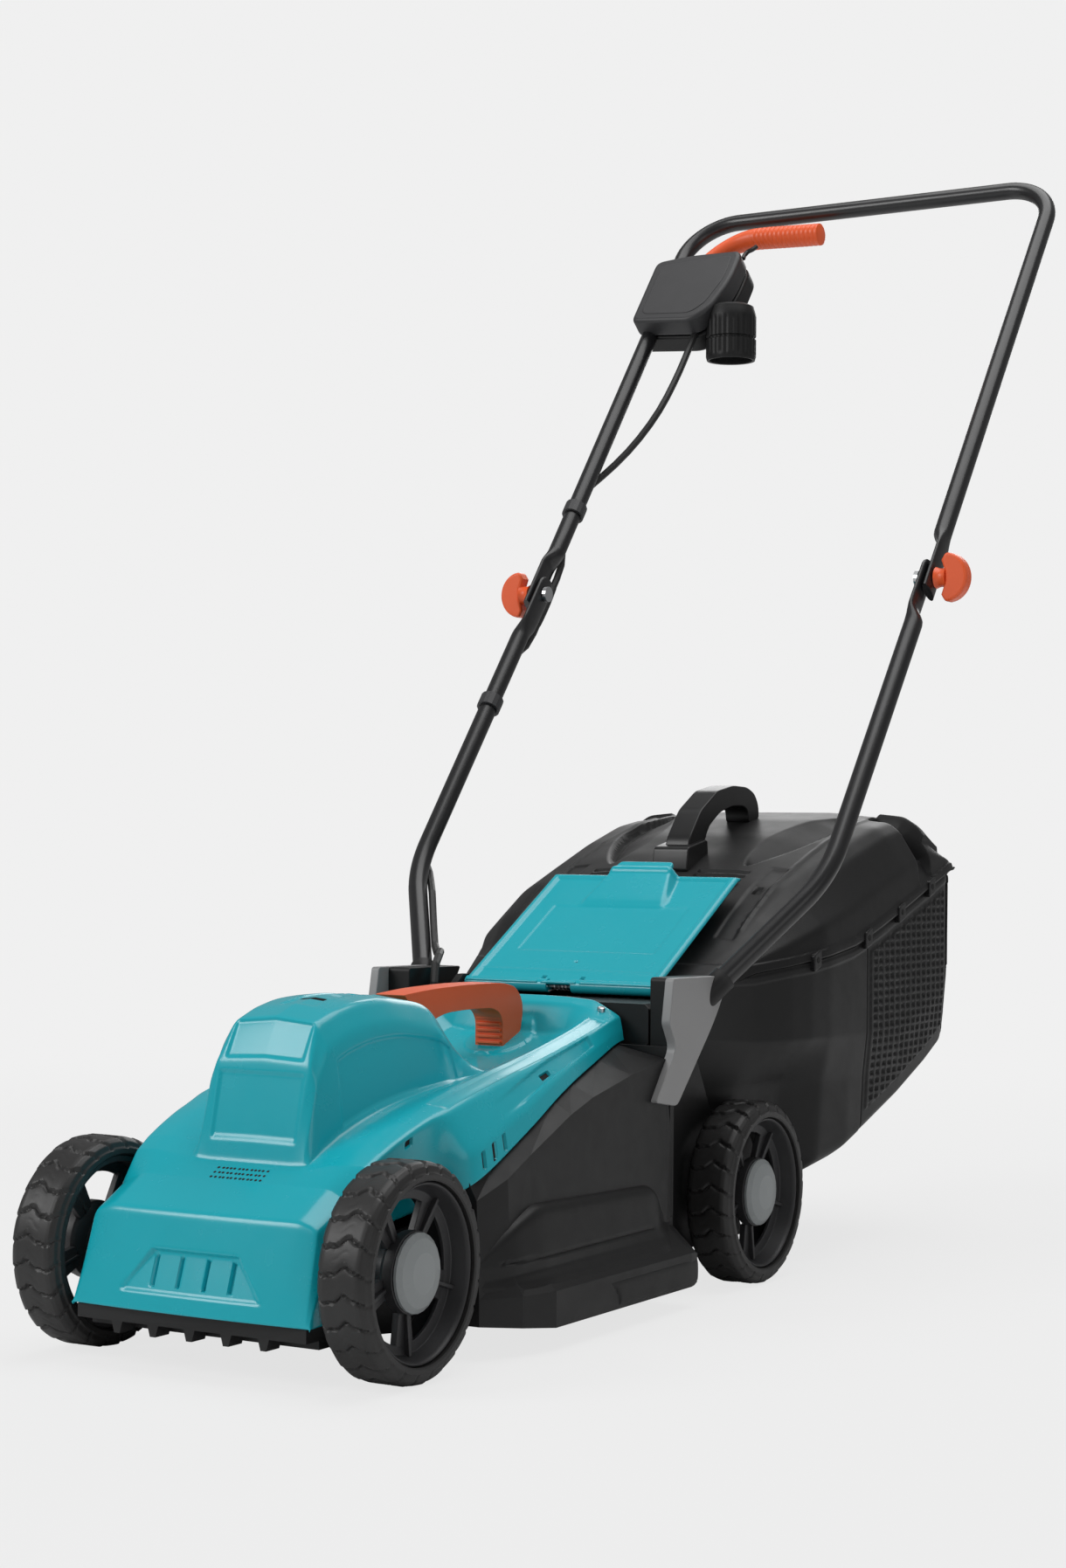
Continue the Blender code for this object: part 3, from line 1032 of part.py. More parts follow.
def build_tub():
    """The open-topped body of the grass box. Its front end is the mouth, square to the way it slides out."""
    def mouth_point(x, height):
        return at(x, mouth(height, MOUTH_GAP), height)

    front = [(0.0, 0.104), (MOUTH_HALF - 0.012, 0.104), (MOUTH_HALF, 0.114), (MOUTH_HALF, WAIST),
             (MOUTH_HALF + 0.004, 0.215), (MOUTH_HALF + 0.004, 0.2435)]
    rings = [[mouth_point(x, height) for x, height in front]]
    rings += [[at(x, station, height) for x, height in tub_half(station)] for station, _ in TUB]
    last = tub_half(TUB[-1][0])
    seam = last[-1][1]
    rings.append([at(x * 0.97, BOX_REAR, min(height + 0.006, seam)) for x, height in last])
    rings.append([at(x * 0.97, BOX_REAR + 0.001, seam) for x, height in last])
    half_rings = [list(reversed(ring)) for ring in rings]
    return shell("grass_box_tub", half_rings, BOX_WALL, (BLACK, 0.5))


# station: top half width, shoulder height, middle height, outermost half width, seam height
LID = [
    (0.560, (0.120, 0.2900, 0.2960, 0.1450, 0.2705)),
    (0.600, (0.128, 0.3180, 0.3215, 0.1640, 0.2765)),
    (0.650, (0.132, 0.3450, 0.3490, 0.1765, 0.2835)),
    (0.710, (0.136, 0.3660, 0.3740, 0.1775, 0.2918)),
    (0.765, (0.139, 0.3840, 0.3930, 0.1775, 0.3063)),
    (0.832, (0.142, 0.4020, 0.4100, 0.1770, 0.3258)),
    (0.895, (0.143, 0.4110, 0.4180, 0.1760, 0.3450)),
    (0.915, (0.141, 0.4070, 0.4135, 0.1755, 0.3505)),
    (0.950, (0.137, 0.3860, 0.3920, 0.1740, 0.3600)),
]


def build_lid():
    def section(top_half, shoulder, middle, outer, seam):
        rise = shoulder - seam
        return [(outer, seam), (outer - 0.003, seam + rise * 0.45), (top_half + (outer - top_half) * 0.35,
                seam + rise * 0.88), (top_half, shoulder), (top_half * 0.5, middle), (0.0, middle)]

    front = [(0.1190, 0.2460), (0.1180, 0.2505), (0.1150, 0.2540), (0.0970, 0.2545), (0.0500, 0.2545),
             (0.0, 0.2545)]
    rings = [[at(x, mouth(height, 0.016), height) for x, height in front]]
    rings += [[at(x, station, height) for x, height in section(*values)] for station, values in LID]
    last = section(*LID[-1][1])
    seam = last[0][1]
    rings.append([at(x * 0.985, BOX_REAR + 0.004, seam + (height - seam) * 0.78) for x, height in last])
    rings.append([at(x * 0.985, BOX_REAR + 0.005, seam) for x, height in last])
    return shell("grass_box_lid", rings, BOX_WALL, (BLACK, 0.45))


def lid_top(station):
    return between(LID, station)[2]


def build_box_handle():
    arch = [(0.6900, 0.3900), (0.7150, 0.4180), (0.7500, 0.4370), (0.7850, 0.4430), (0.8150, 0.4420),
            (0.8320, 0.4360), (0.8410, 0.4250)]
    inside = [(0.8160, 0.4190), (0.8050, 0.4225), (0.7820, 0.4220), (0.7560, 0.4160), (0.7320, 0.4020),
              (0.7220, 0.3870)]
    seat = [[(station, lid_top(station) + GAP) for station in foot]
            for foot in ((0.6820, 0.7100, 0.7200), (0.8180, 0.8320, 0.8430))]
    outline = arch + list(reversed(seat[1])) + inside + list(reversed(seat[0]))
    handle = profile_plate("grass_box_handle", outline, -0.0130, 0.0130, (BLACK, 0.4))
    rounding = handle.modifiers.new("Bevel", "BEVEL")
    rounding.width = 0.003
    rounding.segments = 2
    rounding.limit_method = "ANGLE"
    rounding.angle_limit = math.radians(60)
    return handle


# ---- the whole machine ----------------------------------------------------------------------------------
def main():
    build_hood()
    build_deck()
    build_comb()
    build_carry_handle()
    build_motor()
    for label, side in SIDES:
        build_bracket(label, side)
        build_lower_handle(label, side)
        build_clamp(label, side)
    front = build_axle("front_axle", FRONT_TRACK, 0.0, DECK_SKIRT[0][1][1])
    rear = build_axle("rear_axle", REAR_TRACK, WHEELBASE, REAR_HALF)
    for axle, name, track, station in ((front, "front", FRONT_TRACK, 0.0), (rear, "rear", REAR_TRACK, WHEELBASE)):
        carrier = pivot(name + "_axle_slide", at(0, station, WHEEL_RADIUS), axle)
        for label, side in SIDES:
            wheel = build_wheel(name + "_" + label, side, track, station)
            wheel.parent = carrier
            wheel.matrix_parent_inverse = Matrix.Translation(at(0, station, WHEEL_RADIUS)).inverted()
    build_flap()
    pivot("grass_box_slide", at(0, BOX_REAR, 0.2), build_tub(), build_lid(), build_box_handle())
    pivot("handle_fold", FOLD, build_upper_handle(), *build_switch_box(), build_cable(), build_clips())
    build_bail()


main()
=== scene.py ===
"""The looks of a corded rotary mower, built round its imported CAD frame. Metres, +Z up, the front faces -Y.

A "station" is a distance behind the front axle, as in the CAD source. Outlines and sections are given as
stations, heights and distances from the middle plane.
"""
import math

import bmesh
import bpy
import numpy as np
from mathutils import Matrix, Vector


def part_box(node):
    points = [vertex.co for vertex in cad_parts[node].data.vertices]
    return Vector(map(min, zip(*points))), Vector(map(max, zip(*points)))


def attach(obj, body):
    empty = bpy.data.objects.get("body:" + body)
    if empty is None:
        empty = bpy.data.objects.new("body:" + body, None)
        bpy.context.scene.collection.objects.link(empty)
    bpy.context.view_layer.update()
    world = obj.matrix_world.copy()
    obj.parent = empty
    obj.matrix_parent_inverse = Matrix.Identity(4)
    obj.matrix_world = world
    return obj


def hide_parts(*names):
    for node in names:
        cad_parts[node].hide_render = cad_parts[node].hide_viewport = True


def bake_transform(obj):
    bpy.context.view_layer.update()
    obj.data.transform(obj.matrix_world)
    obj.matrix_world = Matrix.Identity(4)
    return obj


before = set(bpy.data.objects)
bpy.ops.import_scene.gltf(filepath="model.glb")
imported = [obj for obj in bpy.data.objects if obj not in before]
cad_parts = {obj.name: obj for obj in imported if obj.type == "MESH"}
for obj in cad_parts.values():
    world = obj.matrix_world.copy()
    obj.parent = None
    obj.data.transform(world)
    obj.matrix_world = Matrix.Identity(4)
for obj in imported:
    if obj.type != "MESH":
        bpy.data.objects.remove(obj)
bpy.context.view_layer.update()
SIDES = (("left", 1), ("right", -1))
X_AXIS, Y_AXIS, Z_AXIS = Vector((1, 0, 0)), Vector((0, 1, 0)), Vector((0, 0, 1))


def middle(node_name):
    low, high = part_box(node_name)
    return (low + high) / 2


AXLE_Y = middle("front_axle").y


def at(x, station, height):
    return Vector((x, AXLE_Y + station, height))


# ---- camera and light ----
CAMERA_PLACE = (1.2147, -1.6471, 0.3959)     # x, station, height
CAMERA_TURN = (30.5, 0.988, 0.498)          # azimuth, pitch and roll in degrees
LENS, SENSOR = 92.4728, 36
PALE = (0.871, 0.871, 0.871, 1)
FLOOR_GREY = (0.8, 0.8, 0.8, 1)
WORLD_STRENGTH = 0.24
FLOOR_RADIUS = 9
# the floor shows its shadows near the mower and turns into the plain background further out
FLOOR_GLOW, FADE_START, FADE_END = 0.86, 0.75, 2.4
# name: place, target, size, power
LIGHTS = {
    "key": ((-2.2, -3.2, 2.6), (0, -0.1, 0.3), (1.8, 1.8), 74),
    "top": ((0.3, 0.4, 3.2), (0, 0.0, 0.2), (2.6, 2.6), 56),
    "fill": ((3.0, -1.6, 1.2), (0, 0.1, 0.35), (1.6, 1.6), 7),
    "back": ((-1.0, 3.4, 1.8), (0, 0.2, 0.4), (2.0, 1.4), 26),
}


def build_camera():
    azimuth, pitch, roll = (math.radians(angle) for angle in CAMERA_TURN)
    level_reach = math.cos(pitch)
    ahead = Vector((-math.sin(azimuth) * level_reach, math.cos(azimuth) * level_reach, math.sin(pitch)))
    level = ahead.cross(Z_AXIS).normalized()
    up = level.cross(ahead)
    right = level * math.cos(roll) + up * math.sin(roll)
    top = up * math.cos(roll) - level * math.sin(roll)
    lens = bpy.data.cameras.new("camera")
    lens.sensor_fit = "HORIZONTAL"
    lens.sensor_width = SENSOR
    lens.lens = LENS
    lens.clip_end = 60
    camera = bpy.data.objects.new("camera", lens)
    place = Matrix((right, top, -ahead)).transposed().to_4x4()
    place.translation = at(*CAMERA_PLACE)
    camera.matrix_world = place
    bpy.context.scene.collection.objects.link(camera)
    bpy.context.scene.camera = camera


def build_light(name, place, target, size, power):
    light = bpy.data.lights.new(name, "AREA")
    light.shape = "RECTANGLE"
    light.size, light.size_y = size
    light.energy = power
    obj = bpy.data.objects.new(name, light)
    obj.location = place
    obj.rotation_euler = (Vector(target) - Vector(place)).to_track_quat("-Z", "Y").to_euler()
    bpy.context.scene.collection.objects.link(obj)


def feed(tree, made, sockets):
    """Gives each socket of a node its constant, or the output of another node that feeds it."""
    for key, value in sockets.items():
        if isinstance(value, bpy.types.NodeSocket):
            tree.links.new(value, made.inputs[key])
        else:
            made.inputs[key].default_value = value


def node(tree, kind, sockets=None, **settings):
    made = tree.nodes.new(kind)
    for key, value in settings.items():
        setattr(made, key, value)
    feed(tree, made, sockets or {})
    return made


def seen_directly(tree):
    """A socket that is 1 for rays from the camera and for those that clear pieces send on."""
    path = node(tree, "ShaderNodeLightPath").outputs
    rays = {0: path["Is Camera Ray"], 1: path["Is Transmission Ray"]}
    return node(tree, "ShaderNodeMath", rays, operation="MAXIMUM").outputs[0]


def show_or_light(tree, share, lit, shown, output):
    """What is seen directly takes the shown shader, by a share. All other rays take the lit one."""
    mix = node(tree, "ShaderNodeMixShader", {0: share, 1: lit.outputs[0], 2: shown.outputs[0]})
    node(tree, output, {"Surface": mix.outputs[0]})


def build_world():
    world = bpy.data.worlds.new("world")
    bpy.context.scene.world = world
    world.use_nodes = True
    tree = world.node_tree
    tree.nodes.clear()
    lit = node(tree, "ShaderNodeBackground", {"Color": (1, 1, 1, 1), "Strength": WORLD_STRENGTH})
    shown = node(tree, "ShaderNodeBackground", {"Color": PALE})
    show_or_light(tree, seen_directly(tree), lit, shown, "ShaderNodeOutputWorld")


def build_floor():
    material = bpy.data.materials.new("stage_pale")
    material.use_nodes = True
    tree = material.node_tree
    tree.nodes.clear()
    place = node(tree, "ShaderNodeNewGeometry").outputs["Position"]
    away = node(tree, "ShaderNodeVectorMath", {0: place}, operation="LENGTH").outputs["Value"]
    fade = node(tree, "ShaderNodeMapRange", {"Value": away, "From Min": FADE_START, "From Max": FADE_END,
                                             "To Min": FLOOR_GLOW}, interpolation_type="SMOOTHSTEP")
    factors = {0: seen_directly(tree), 1: fade.outputs["Result"]}
    share = node(tree, "ShaderNodeMath", factors, operation="MULTIPLY")
    lit = node(tree, "ShaderNodeBsdfDiffuse", {"Color": FLOOR_GREY})
    shown = node(tree, "ShaderNodeEmission", {"Color": PALE})
    show_or_light(tree, share.outputs[0], lit, shown, "ShaderNodeOutputMaterial")
    bm = bmesh.new()
    bmesh.ops.create_circle(bm, cap_ends=True, segments=64, radius=FLOOR_RADIUS)
    floor = bm_object("floor", bm, material)


def build_stage():
    build_world()
    build_floor()
    for name, settings in LIGHTS.items():
        build_light(name, *settings)
    bpy.context.scene.view_settings.view_transform = "Standard"


# ---- materials ----
BROAD_SCALE, GLOSS_SCALE = 14.0, 55.0
RELIEF = 0.00012
HIGHLIGHT_FROM, HIGHLIGHT_TO = 0.53, 0.62              # pointiness at which the painted edge highlight starts, and is full
COAT_ROUGHNESS = 0.12


def shade(colour, factor, lift=0.0):
    return (*(min(1, channel * factor + lift) for channel in colour), 1)


def surface(name, colour, roughness, metallic=0.0, grain=900.0, bump=0.15, variation=0.1, edge_highlight=0.0, coat=0.0,
            scratches=0.0, specular=0.5):
    """A moulded, coated or brushed finish: tone and gloss that vary slowly, a fine grain in relief, and sharp
    edges made lighter by a painted highlight."""
    made = bpy.data.materials.new(name)
    made.use_nodes = True
    tree = made.node_tree
    where = node(tree, "ShaderNodeTexCoord").outputs["Object"]
    broad = node(tree, "ShaderNodeTexNoise", {"Scale": BROAD_SCALE, "Detail": 3.0, "Vector": where})
    tones = {"Factor": broad.outputs["Fac"], "A": shade(colour, 1 - variation),
             "B": shade(colour, 1 + variation)}
    tone = node(tree, "ShaderNodeMix", tones, data_type="RGBA").outputs["Result"]
    # painted highlight: sharp convex edges, found by pointiness, are lightened in the base colour
    if edge_highlight:
        edges = node(tree, "ShaderNodeNewGeometry").outputs["Pointiness"]
        edge_highlight_share = node(tree, "ShaderNodeMapRange", {"Value": edges, "From Min": HIGHLIGHT_FROM, "From Max": HIGHLIGHT_TO,
                                                   "To Max": edge_highlight})
        highlight_tones = {"Factor": edge_highlight_share.outputs["Result"], "A": tone, "B": shade(colour, 1.6, 0.05)}
        tone = node(tree, "ShaderNodeMix", highlight_tones, data_type="RGBA").outputs["Result"]
    gloss = node(tree, "ShaderNodeTexNoise", {"Scale": GLOSS_SCALE, "Detail": 4.0, "Vector": where})
    level = node(tree, "ShaderNodeMapRange", {"Value": gloss.outputs["Fac"], "To Min": roughness * 0.86,
                                              "To Max": min(1.0, roughness * 1.16)})
    if scratches:
        stretch = {"Scale": (1, scratches, 1), "Vector": where}
        where = node(tree, "ShaderNodeMapping", stretch).outputs["Vector"]
    fine = node(tree, "ShaderNodeTexNoise", {"Scale": grain, "Detail": 2.0, "Vector": where})
    relief = node(tree, "ShaderNodeBump", {"Strength": bump, "Distance": RELIEF,
                                           "Height": fine.outputs["Fac"]})
    sockets = {"Metallic": metallic, "Specular IOR Level": specular, "Base Color": tone,
               "Roughness": level.outputs["Result"], "Normal": relief.outputs["Normal"]}
    if coat:
        sockets.update({"Coat Weight": coat, "Coat Roughness": COAT_ROUGHNESS})
    feed(tree, tree.nodes["Principled BSDF"], sockets)
    return made


TURQUOISE = surface("turquoise_gloss", (0.006, 0.42, 0.505), 0.26, grain=500, bump=0.04, variation=0.035,
                    coat=0.2, specular=0.4)
ORANGE = surface("orange_satin", (0.86, 0.12, 0.03), 0.38, grain=1400, bump=0.18, variation=0.06)
BLACK = surface("black_moulded", (0.0085, 0.0085, 0.0088), 0.46, grain=1500, bump=0.3, variation=0.14,
                edge_highlight=0.2, specular=0.32)
BLACK_SATIN = surface("black_satin", (0.0085, 0.0085, 0.009), 0.34, grain=1200, bump=0.16, variation=0.12,
                      edge_highlight=0.2, specular=0.4)
GREY_DARK = surface("dark_grey_moulded", (0.026, 0.026, 0.028), 0.46, grain=1500, bump=0.3, variation=0.12,
                    edge_highlight=0.2)
GREY_MID = surface("mid_grey_moulded", (0.27, 0.27, 0.272), 0.42, grain=1400, bump=0.22, variation=0.07)
GREY_CAP = surface("cap_grey_moulded", (0.27, 0.29, 0.295), 0.4, grain=1400, bump=0.2, variation=0.05)
TYRE = surface("tyre_hard", (0.017, 0.0165, 0.0165), 0.46, grain=700, bump=0.3, variation=0.2, edge_highlight=0.35)
POWDER = surface("black_powder_coat", (0.01, 0.01, 0.011), 0.32, grain=2200, bump=0.22, variation=0.1,
                 coat=0.15)
ZINC = surface("zinc_plate", (0.56, 0.57, 0.58), 0.3, metallic=1.0, grain=700, bump=0.1, variation=0.1)
BLADE_STEEL = surface("ground_steel", (0.5, 0.5, 0.51), 0.34, metallic=1.0, grain=260, bump=0.25,
                      variation=0.14, scratches=9.0)
CAST = surface("cast_aluminium", (0.58, 0.585, 0.59), 0.48, metallic=1.0, grain=900, bump=0.5, variation=0.1)
COPPER = surface("lacquered_copper", (0.5, 0.21, 0.09), 0.4, metallic=0.8, grain=400, bump=0.6,
                 variation=0.25, scratches=12.0)
RUBBER = surface("cable_sheath", (0.016, 0.016, 0.016), 0.52, grain=2600, bump=0.25, variation=0.1)
# painted shade: the near-black finish laid where a slot, hole or hollow opens, standing in for its unlit
# inside
OPENING_SHADE = surface("painted_opening_shade", (0.006, 0.006, 0.006), 0.8, grain=600, bump=0.2, variation=0.2)

CAD_FINISH = [
    (TURQUOISE, "hood rear_flap"),
    (ORANGE, "carry_handle bail_lever wing_knob_left wing_knob_right"),
    (BLACK, "deck front_comb grass_box_tub grass_box_lid switch_box_base power_inlet"),
    (BLACK_SATIN, "grass_box_handle cord_hook lock_button"),
    (GREY_DARK, "switch_box_cover cable_clip_lower cable_clip_upper blade_carrier"),
    (GREY_MID, "handle_bracket_left handle_bracket_right power_switch run_capacitor"),
    (POWDER, "lower_handle_left lower_handle_right upper_handle"),
    (ZINC, "clamp_bolt_left clamp_bolt_right flap_hinge_pin flap_spring front_axle rear_axle bearing_lower "
           "bearing_upper blade_bolt rotor"),
    (BLADE_STEEL, "blade"),
    (CAST, "motor_lower_bracket motor_upper_bracket"),
    (COPPER, "motor_stator"),
    (RUBBER, "motor_cable_lower motor_cable_upper"),
]
CORNERS = ("front_left", "front_right", "rear_left", "rear_right")
CORNER_FINISH = (("tyre_", TYRE), ("rim_", GREY_DARK), ("hub_cap_", GREY_CAP))


def finish_cad():
    finish = {name: material for material, names in CAD_FINISH for name in names.split()}
    finish.update({part + corner: material for part, material in CORNER_FINISH for corner in CORNERS})
    for name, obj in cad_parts.items():
        obj.data.materials.clear()
        obj.data.materials.append(finish[name])
        obj.data.shade_smooth()
        obj.data.set_sharp_from_angle(angle=math.radians(35))


# ---- surfaces ----
def step_up(low, high, value):
    """0 below low, 1 above high, smooth between."""
    t = np.clip((value - low) / (high - low), 0, 1)
    return t * t * (3 - 2 * t)


def step_down(low, high, value):
    return 1 - step_up(low, high, value)


def inside(value, low, high, soft):
    """1 between low and high, with soft shoulders outside them."""
    return step_up(low - soft, low, value) * step_down(high, high + soft, value)


def around(value, place, half, soft):
    return inside(value, place - half, place + half, soft)


def oval(a, b, half_a, half_b):
    """1 at the edge of an oval, given two distances from its middle."""
    return (a / half_a) ** 2 + (b / half_b) ** 2


def split_line(points, splits):
    """A polyline with each segment split evenly."""
    points = np.array(points, float)
    dense = [a + (b - a) * k / count for a, b, count in zip(points, points[1:], splits) for k in range(count)]
    return np.array(dense + [points[-1]])


def dense_rows(rings, step):
    """Rings with more between them, so that most of their points lie no further apart than a step."""
    rows = [rings[0]]
    for a, b in zip(rings, rings[1:]):
        gap = np.percentile(np.linalg.norm(b - a, axis=1), 80)
        count = max(1, math.ceil(gap / step))
        rows += [a + (b - a) * k / count for k in range(1, count + 1)]
    return np.array(rows)


def soften(grid, passes, axis):
    """Rounds the creases that run across an axis of a grid of points; its ends stay."""
    grid = np.moveaxis(grid.copy(), axis, 0)
    for _ in range(passes):
        grid[1:-1] = (grid[:-2] + 2 * grid[1:-1] + grid[2:]) / 4
    return np.moveaxis(grid, 0, axis)


def mirror_grid(half):
    """A whole grid from its half at +X, whose last column lies on the middle plane."""
    other = half[:, -2::-1].copy()
    other[..., 0] *= -1
    return np.concatenate([half, other], axis=1)


def outward_normals(grid, column, axis, sign=1):
    """The normals of a grid of points, on the side that faces along an axis halfway down a column."""
    normals = np.cross(np.gradient(grid, axis=0), np.gradient(grid, axis=1))
    normals = normals / np.maximum(np.linalg.norm(normals, axis=2, keepdims=True), 1e-12)
    return -normals if normals[len(grid) // 2, column, axis] * sign < 0 else normals


class Relief:
    """What is pressed into a grid of points along its normals, and where shade is painted inside an opening.
    """

    def __init__(self, grid):
        self.depth = np.zeros(grid.shape[:2])
        self.dark = np.zeros(grid.shape[:2])

    def press(self, mask, depth):
        self.depth += depth * mask

    # presses in, and paints shade where the mask is: those cells take the dark second material
    def press_and_shade(self, mask, depth):
        self.press(mask, depth)
        self.dark = np.maximum(self.dark, mask)

    def pressed(self, grid, normals):
        return grid - normals * self.depth[..., None]


def mesh_object(name, mesh, sharp=38):
    mesh.shade_smooth()
    mesh.set_sharp_from_angle(angle=math.radians(sharp))
    obj = bpy.data.objects.new(name, mesh)
    bpy.context.scene.collection.objects.link(obj)
    return obj


def bm_object(name, bm, material, sharp=38):
    mesh = bpy.data.meshes.new(name)
    bm.to_mesh(mesh)
    bm.free()
    mesh.materials.append(material)
    return mesh_object(name, mesh, sharp)


def grid_object(name, grid, materials, wrap=(False, False), dark=None, thickness=0.0):
    """A mesh over a grid of points. Cells where dark is over a half take the second material, a painted
    shade.
    """
    rows, columns = grid.shape[:2]
    faces, finish = [], []
    for i in range(rows if wrap[0] else rows - 1):
        for j in range(columns if wrap[1] else columns - 1):
            k, l = (i + 1) % rows, (j + 1) % columns
            faces.append((i * columns + j, k * columns + j, k * columns + l, i * columns + l))
            finish.append(0 if dark is None else int(dark[i, j] + dark[k, l] > 1.0))
    mesh = bpy.data.meshes.new(name)
    mesh.from_pydata(grid.reshape(-1, 3).tolist(), [], faces)
    for material in materials:
        mesh.materials.append(material)
    mesh.polygons.foreach_set("material_index", finish)
    obj = mesh_object(name, mesh)
    if thickness:
        wall = obj.modifiers.new("Solidify", "SOLIDIFY")
        wall.thickness = thickness
        wall.offset = -1
    return obj


def middle_face(obj):
    return obj.data.polygons[len(obj.data.polygons) // 2]


def face_out(obj, face, direction):
    """Turns a surface inside out if a face of it points against a direction."""
    if face.normal.dot(direction) < 0:
        obj.data.flip_normals()


def settle(obj, body, slot, *nodes):
    """The piece rides on a body and stands for CAD nodes, which it hides. The slot is not used."""
    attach(obj, body)
    if nodes:
        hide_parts(*nodes)


def round_corners(points, radius, steps=5):
    """A closed outline with its corners rounded, each by its own radius where a list is given."""
    radii = radius if isinstance(radius, (list, tuple)) else [radius] * len(points)
    outline = []
    for i, point in enumerate(points):
        here = Vector(point)
        before = Vector(points[i - 1]) - here
        after = Vector(points[(i + 1) % len(points)]) - here
        reach = min(radii[i], before.length * 0.48, after.length * 0.48)
        if reach <= 0:
            outline.append(tuple(here))
            continue
        start, end = here + before.normalized() * reach, here + after.normalized() * reach
        for k in range(steps + 1):
            t = k / steps
            outline.append(tuple(start * (1 - t) ** 2 + here * 2 * t * (1 - t) + end * t ** 2))
    return outline


def plate(name, outline, low, high, place, material, bevel, segments=4):
    """A plate with rounded edges. place turns (a, b) of the outline and a depth into a world point."""
    bm = bmesh.new()
    face = bm.faces.new([bm.verts.new(place(a, b, low)) for a, b in outline])
    lift = Vector(place(*outline[0], high)) - Vector(place(*outline[0], low))
    grown = bmesh.ops.extrude_face_region(bm, geom=[face])["geom"]
    bmesh.ops.translate(bm, vec=lift, verts=[v for v in grown if isinstance(v, bmesh.types.BMVert)])
    bmesh.ops.recalc_face_normals(bm, faces=bm.faces)
    obj = bm_object(name, bm, material, sharp=40)
    add_bevel(obj, bevel, segments, 50)
    return obj


def add_bevel(obj, width, segments=3, angle=35):
    rounding = obj.modifiers.new("Bevel", "BEVEL")
    rounding.width = width
    rounding.segments = segments
    rounding.limit_method = "ANGLE"
    rounding.angle_limit = math.radians(angle)
    rounding.harden_normals = True


def on_side(a, b, depth):
    """(station, height, x) to the world."""
    return at(depth, a, b)


def straight(start, end, steps):
    return [start.lerp(end, t / steps) for t in range(steps + 1)]


def curve_through(points, spacing):
    """Points a given distance apart on a smooth curve through the given ones."""
    ends = [points[0] * 2 - points[1]] + list(points) + [points[-1] * 2 - points[-2]]
    fine = []
    for a, b, c, d in zip(ends, ends[1:], ends[2:], ends[3:]):
        for k in range(24):
            t = k / 24
            fine.append(0.5 * (2 * b + (c - a) * t + (2 * a - 5 * b + 4 * c - d) * t ** 2
                               + (3 * b - a - 3 * c + d) * t ** 3))
    fine.append(points[-1])
    lengths = np.cumsum([0.0] + [(b - a).length for a, b in zip(fine, fine[1:])])
    goals = np.linspace(0, lengths[-1], max(2, round(lengths[-1] / spacing)) + 1)
    return [Vector([np.interp(g, lengths, [p[k] for p in fine]) for k in range(3)]) for g in goals], goals


def tube_grid(path, radii, plane_normal, sides):
    """Rings round a path, with (in-plane, across-plane) radii, and closed by a point at each end."""
    rows = []
    for i, point in enumerate(path):
        along = (path[min(i + 1, len(path) - 1)] - path[max(i - 1, 0)]).normalized()
        across = (plane_normal - plane_normal.dot(along) * along).normalized()
        within = along.cross(across)
        a, b = radii[i]
        rows.append([tuple(point + within * a * math.cos(t) + across * b * math.sin(t))
                     for t in (math.tau * k / sides for k in range(sides))])
    rows = [[tuple(path[0])] * sides] + rows + [[tuple(path[-1])] * sides]
    return np.array(rows)


# ---- hood ----
HOOD_LIP = 0.0455


def flat_top(edge, side, ridge, top):
    """A section in front of the motor dome: edge, side and ridge points, then a level top."""
    return [edge, side, ridge, (0.085, top), (0.055, top), (0.045, top), (0.03, top), (0.0, top)]


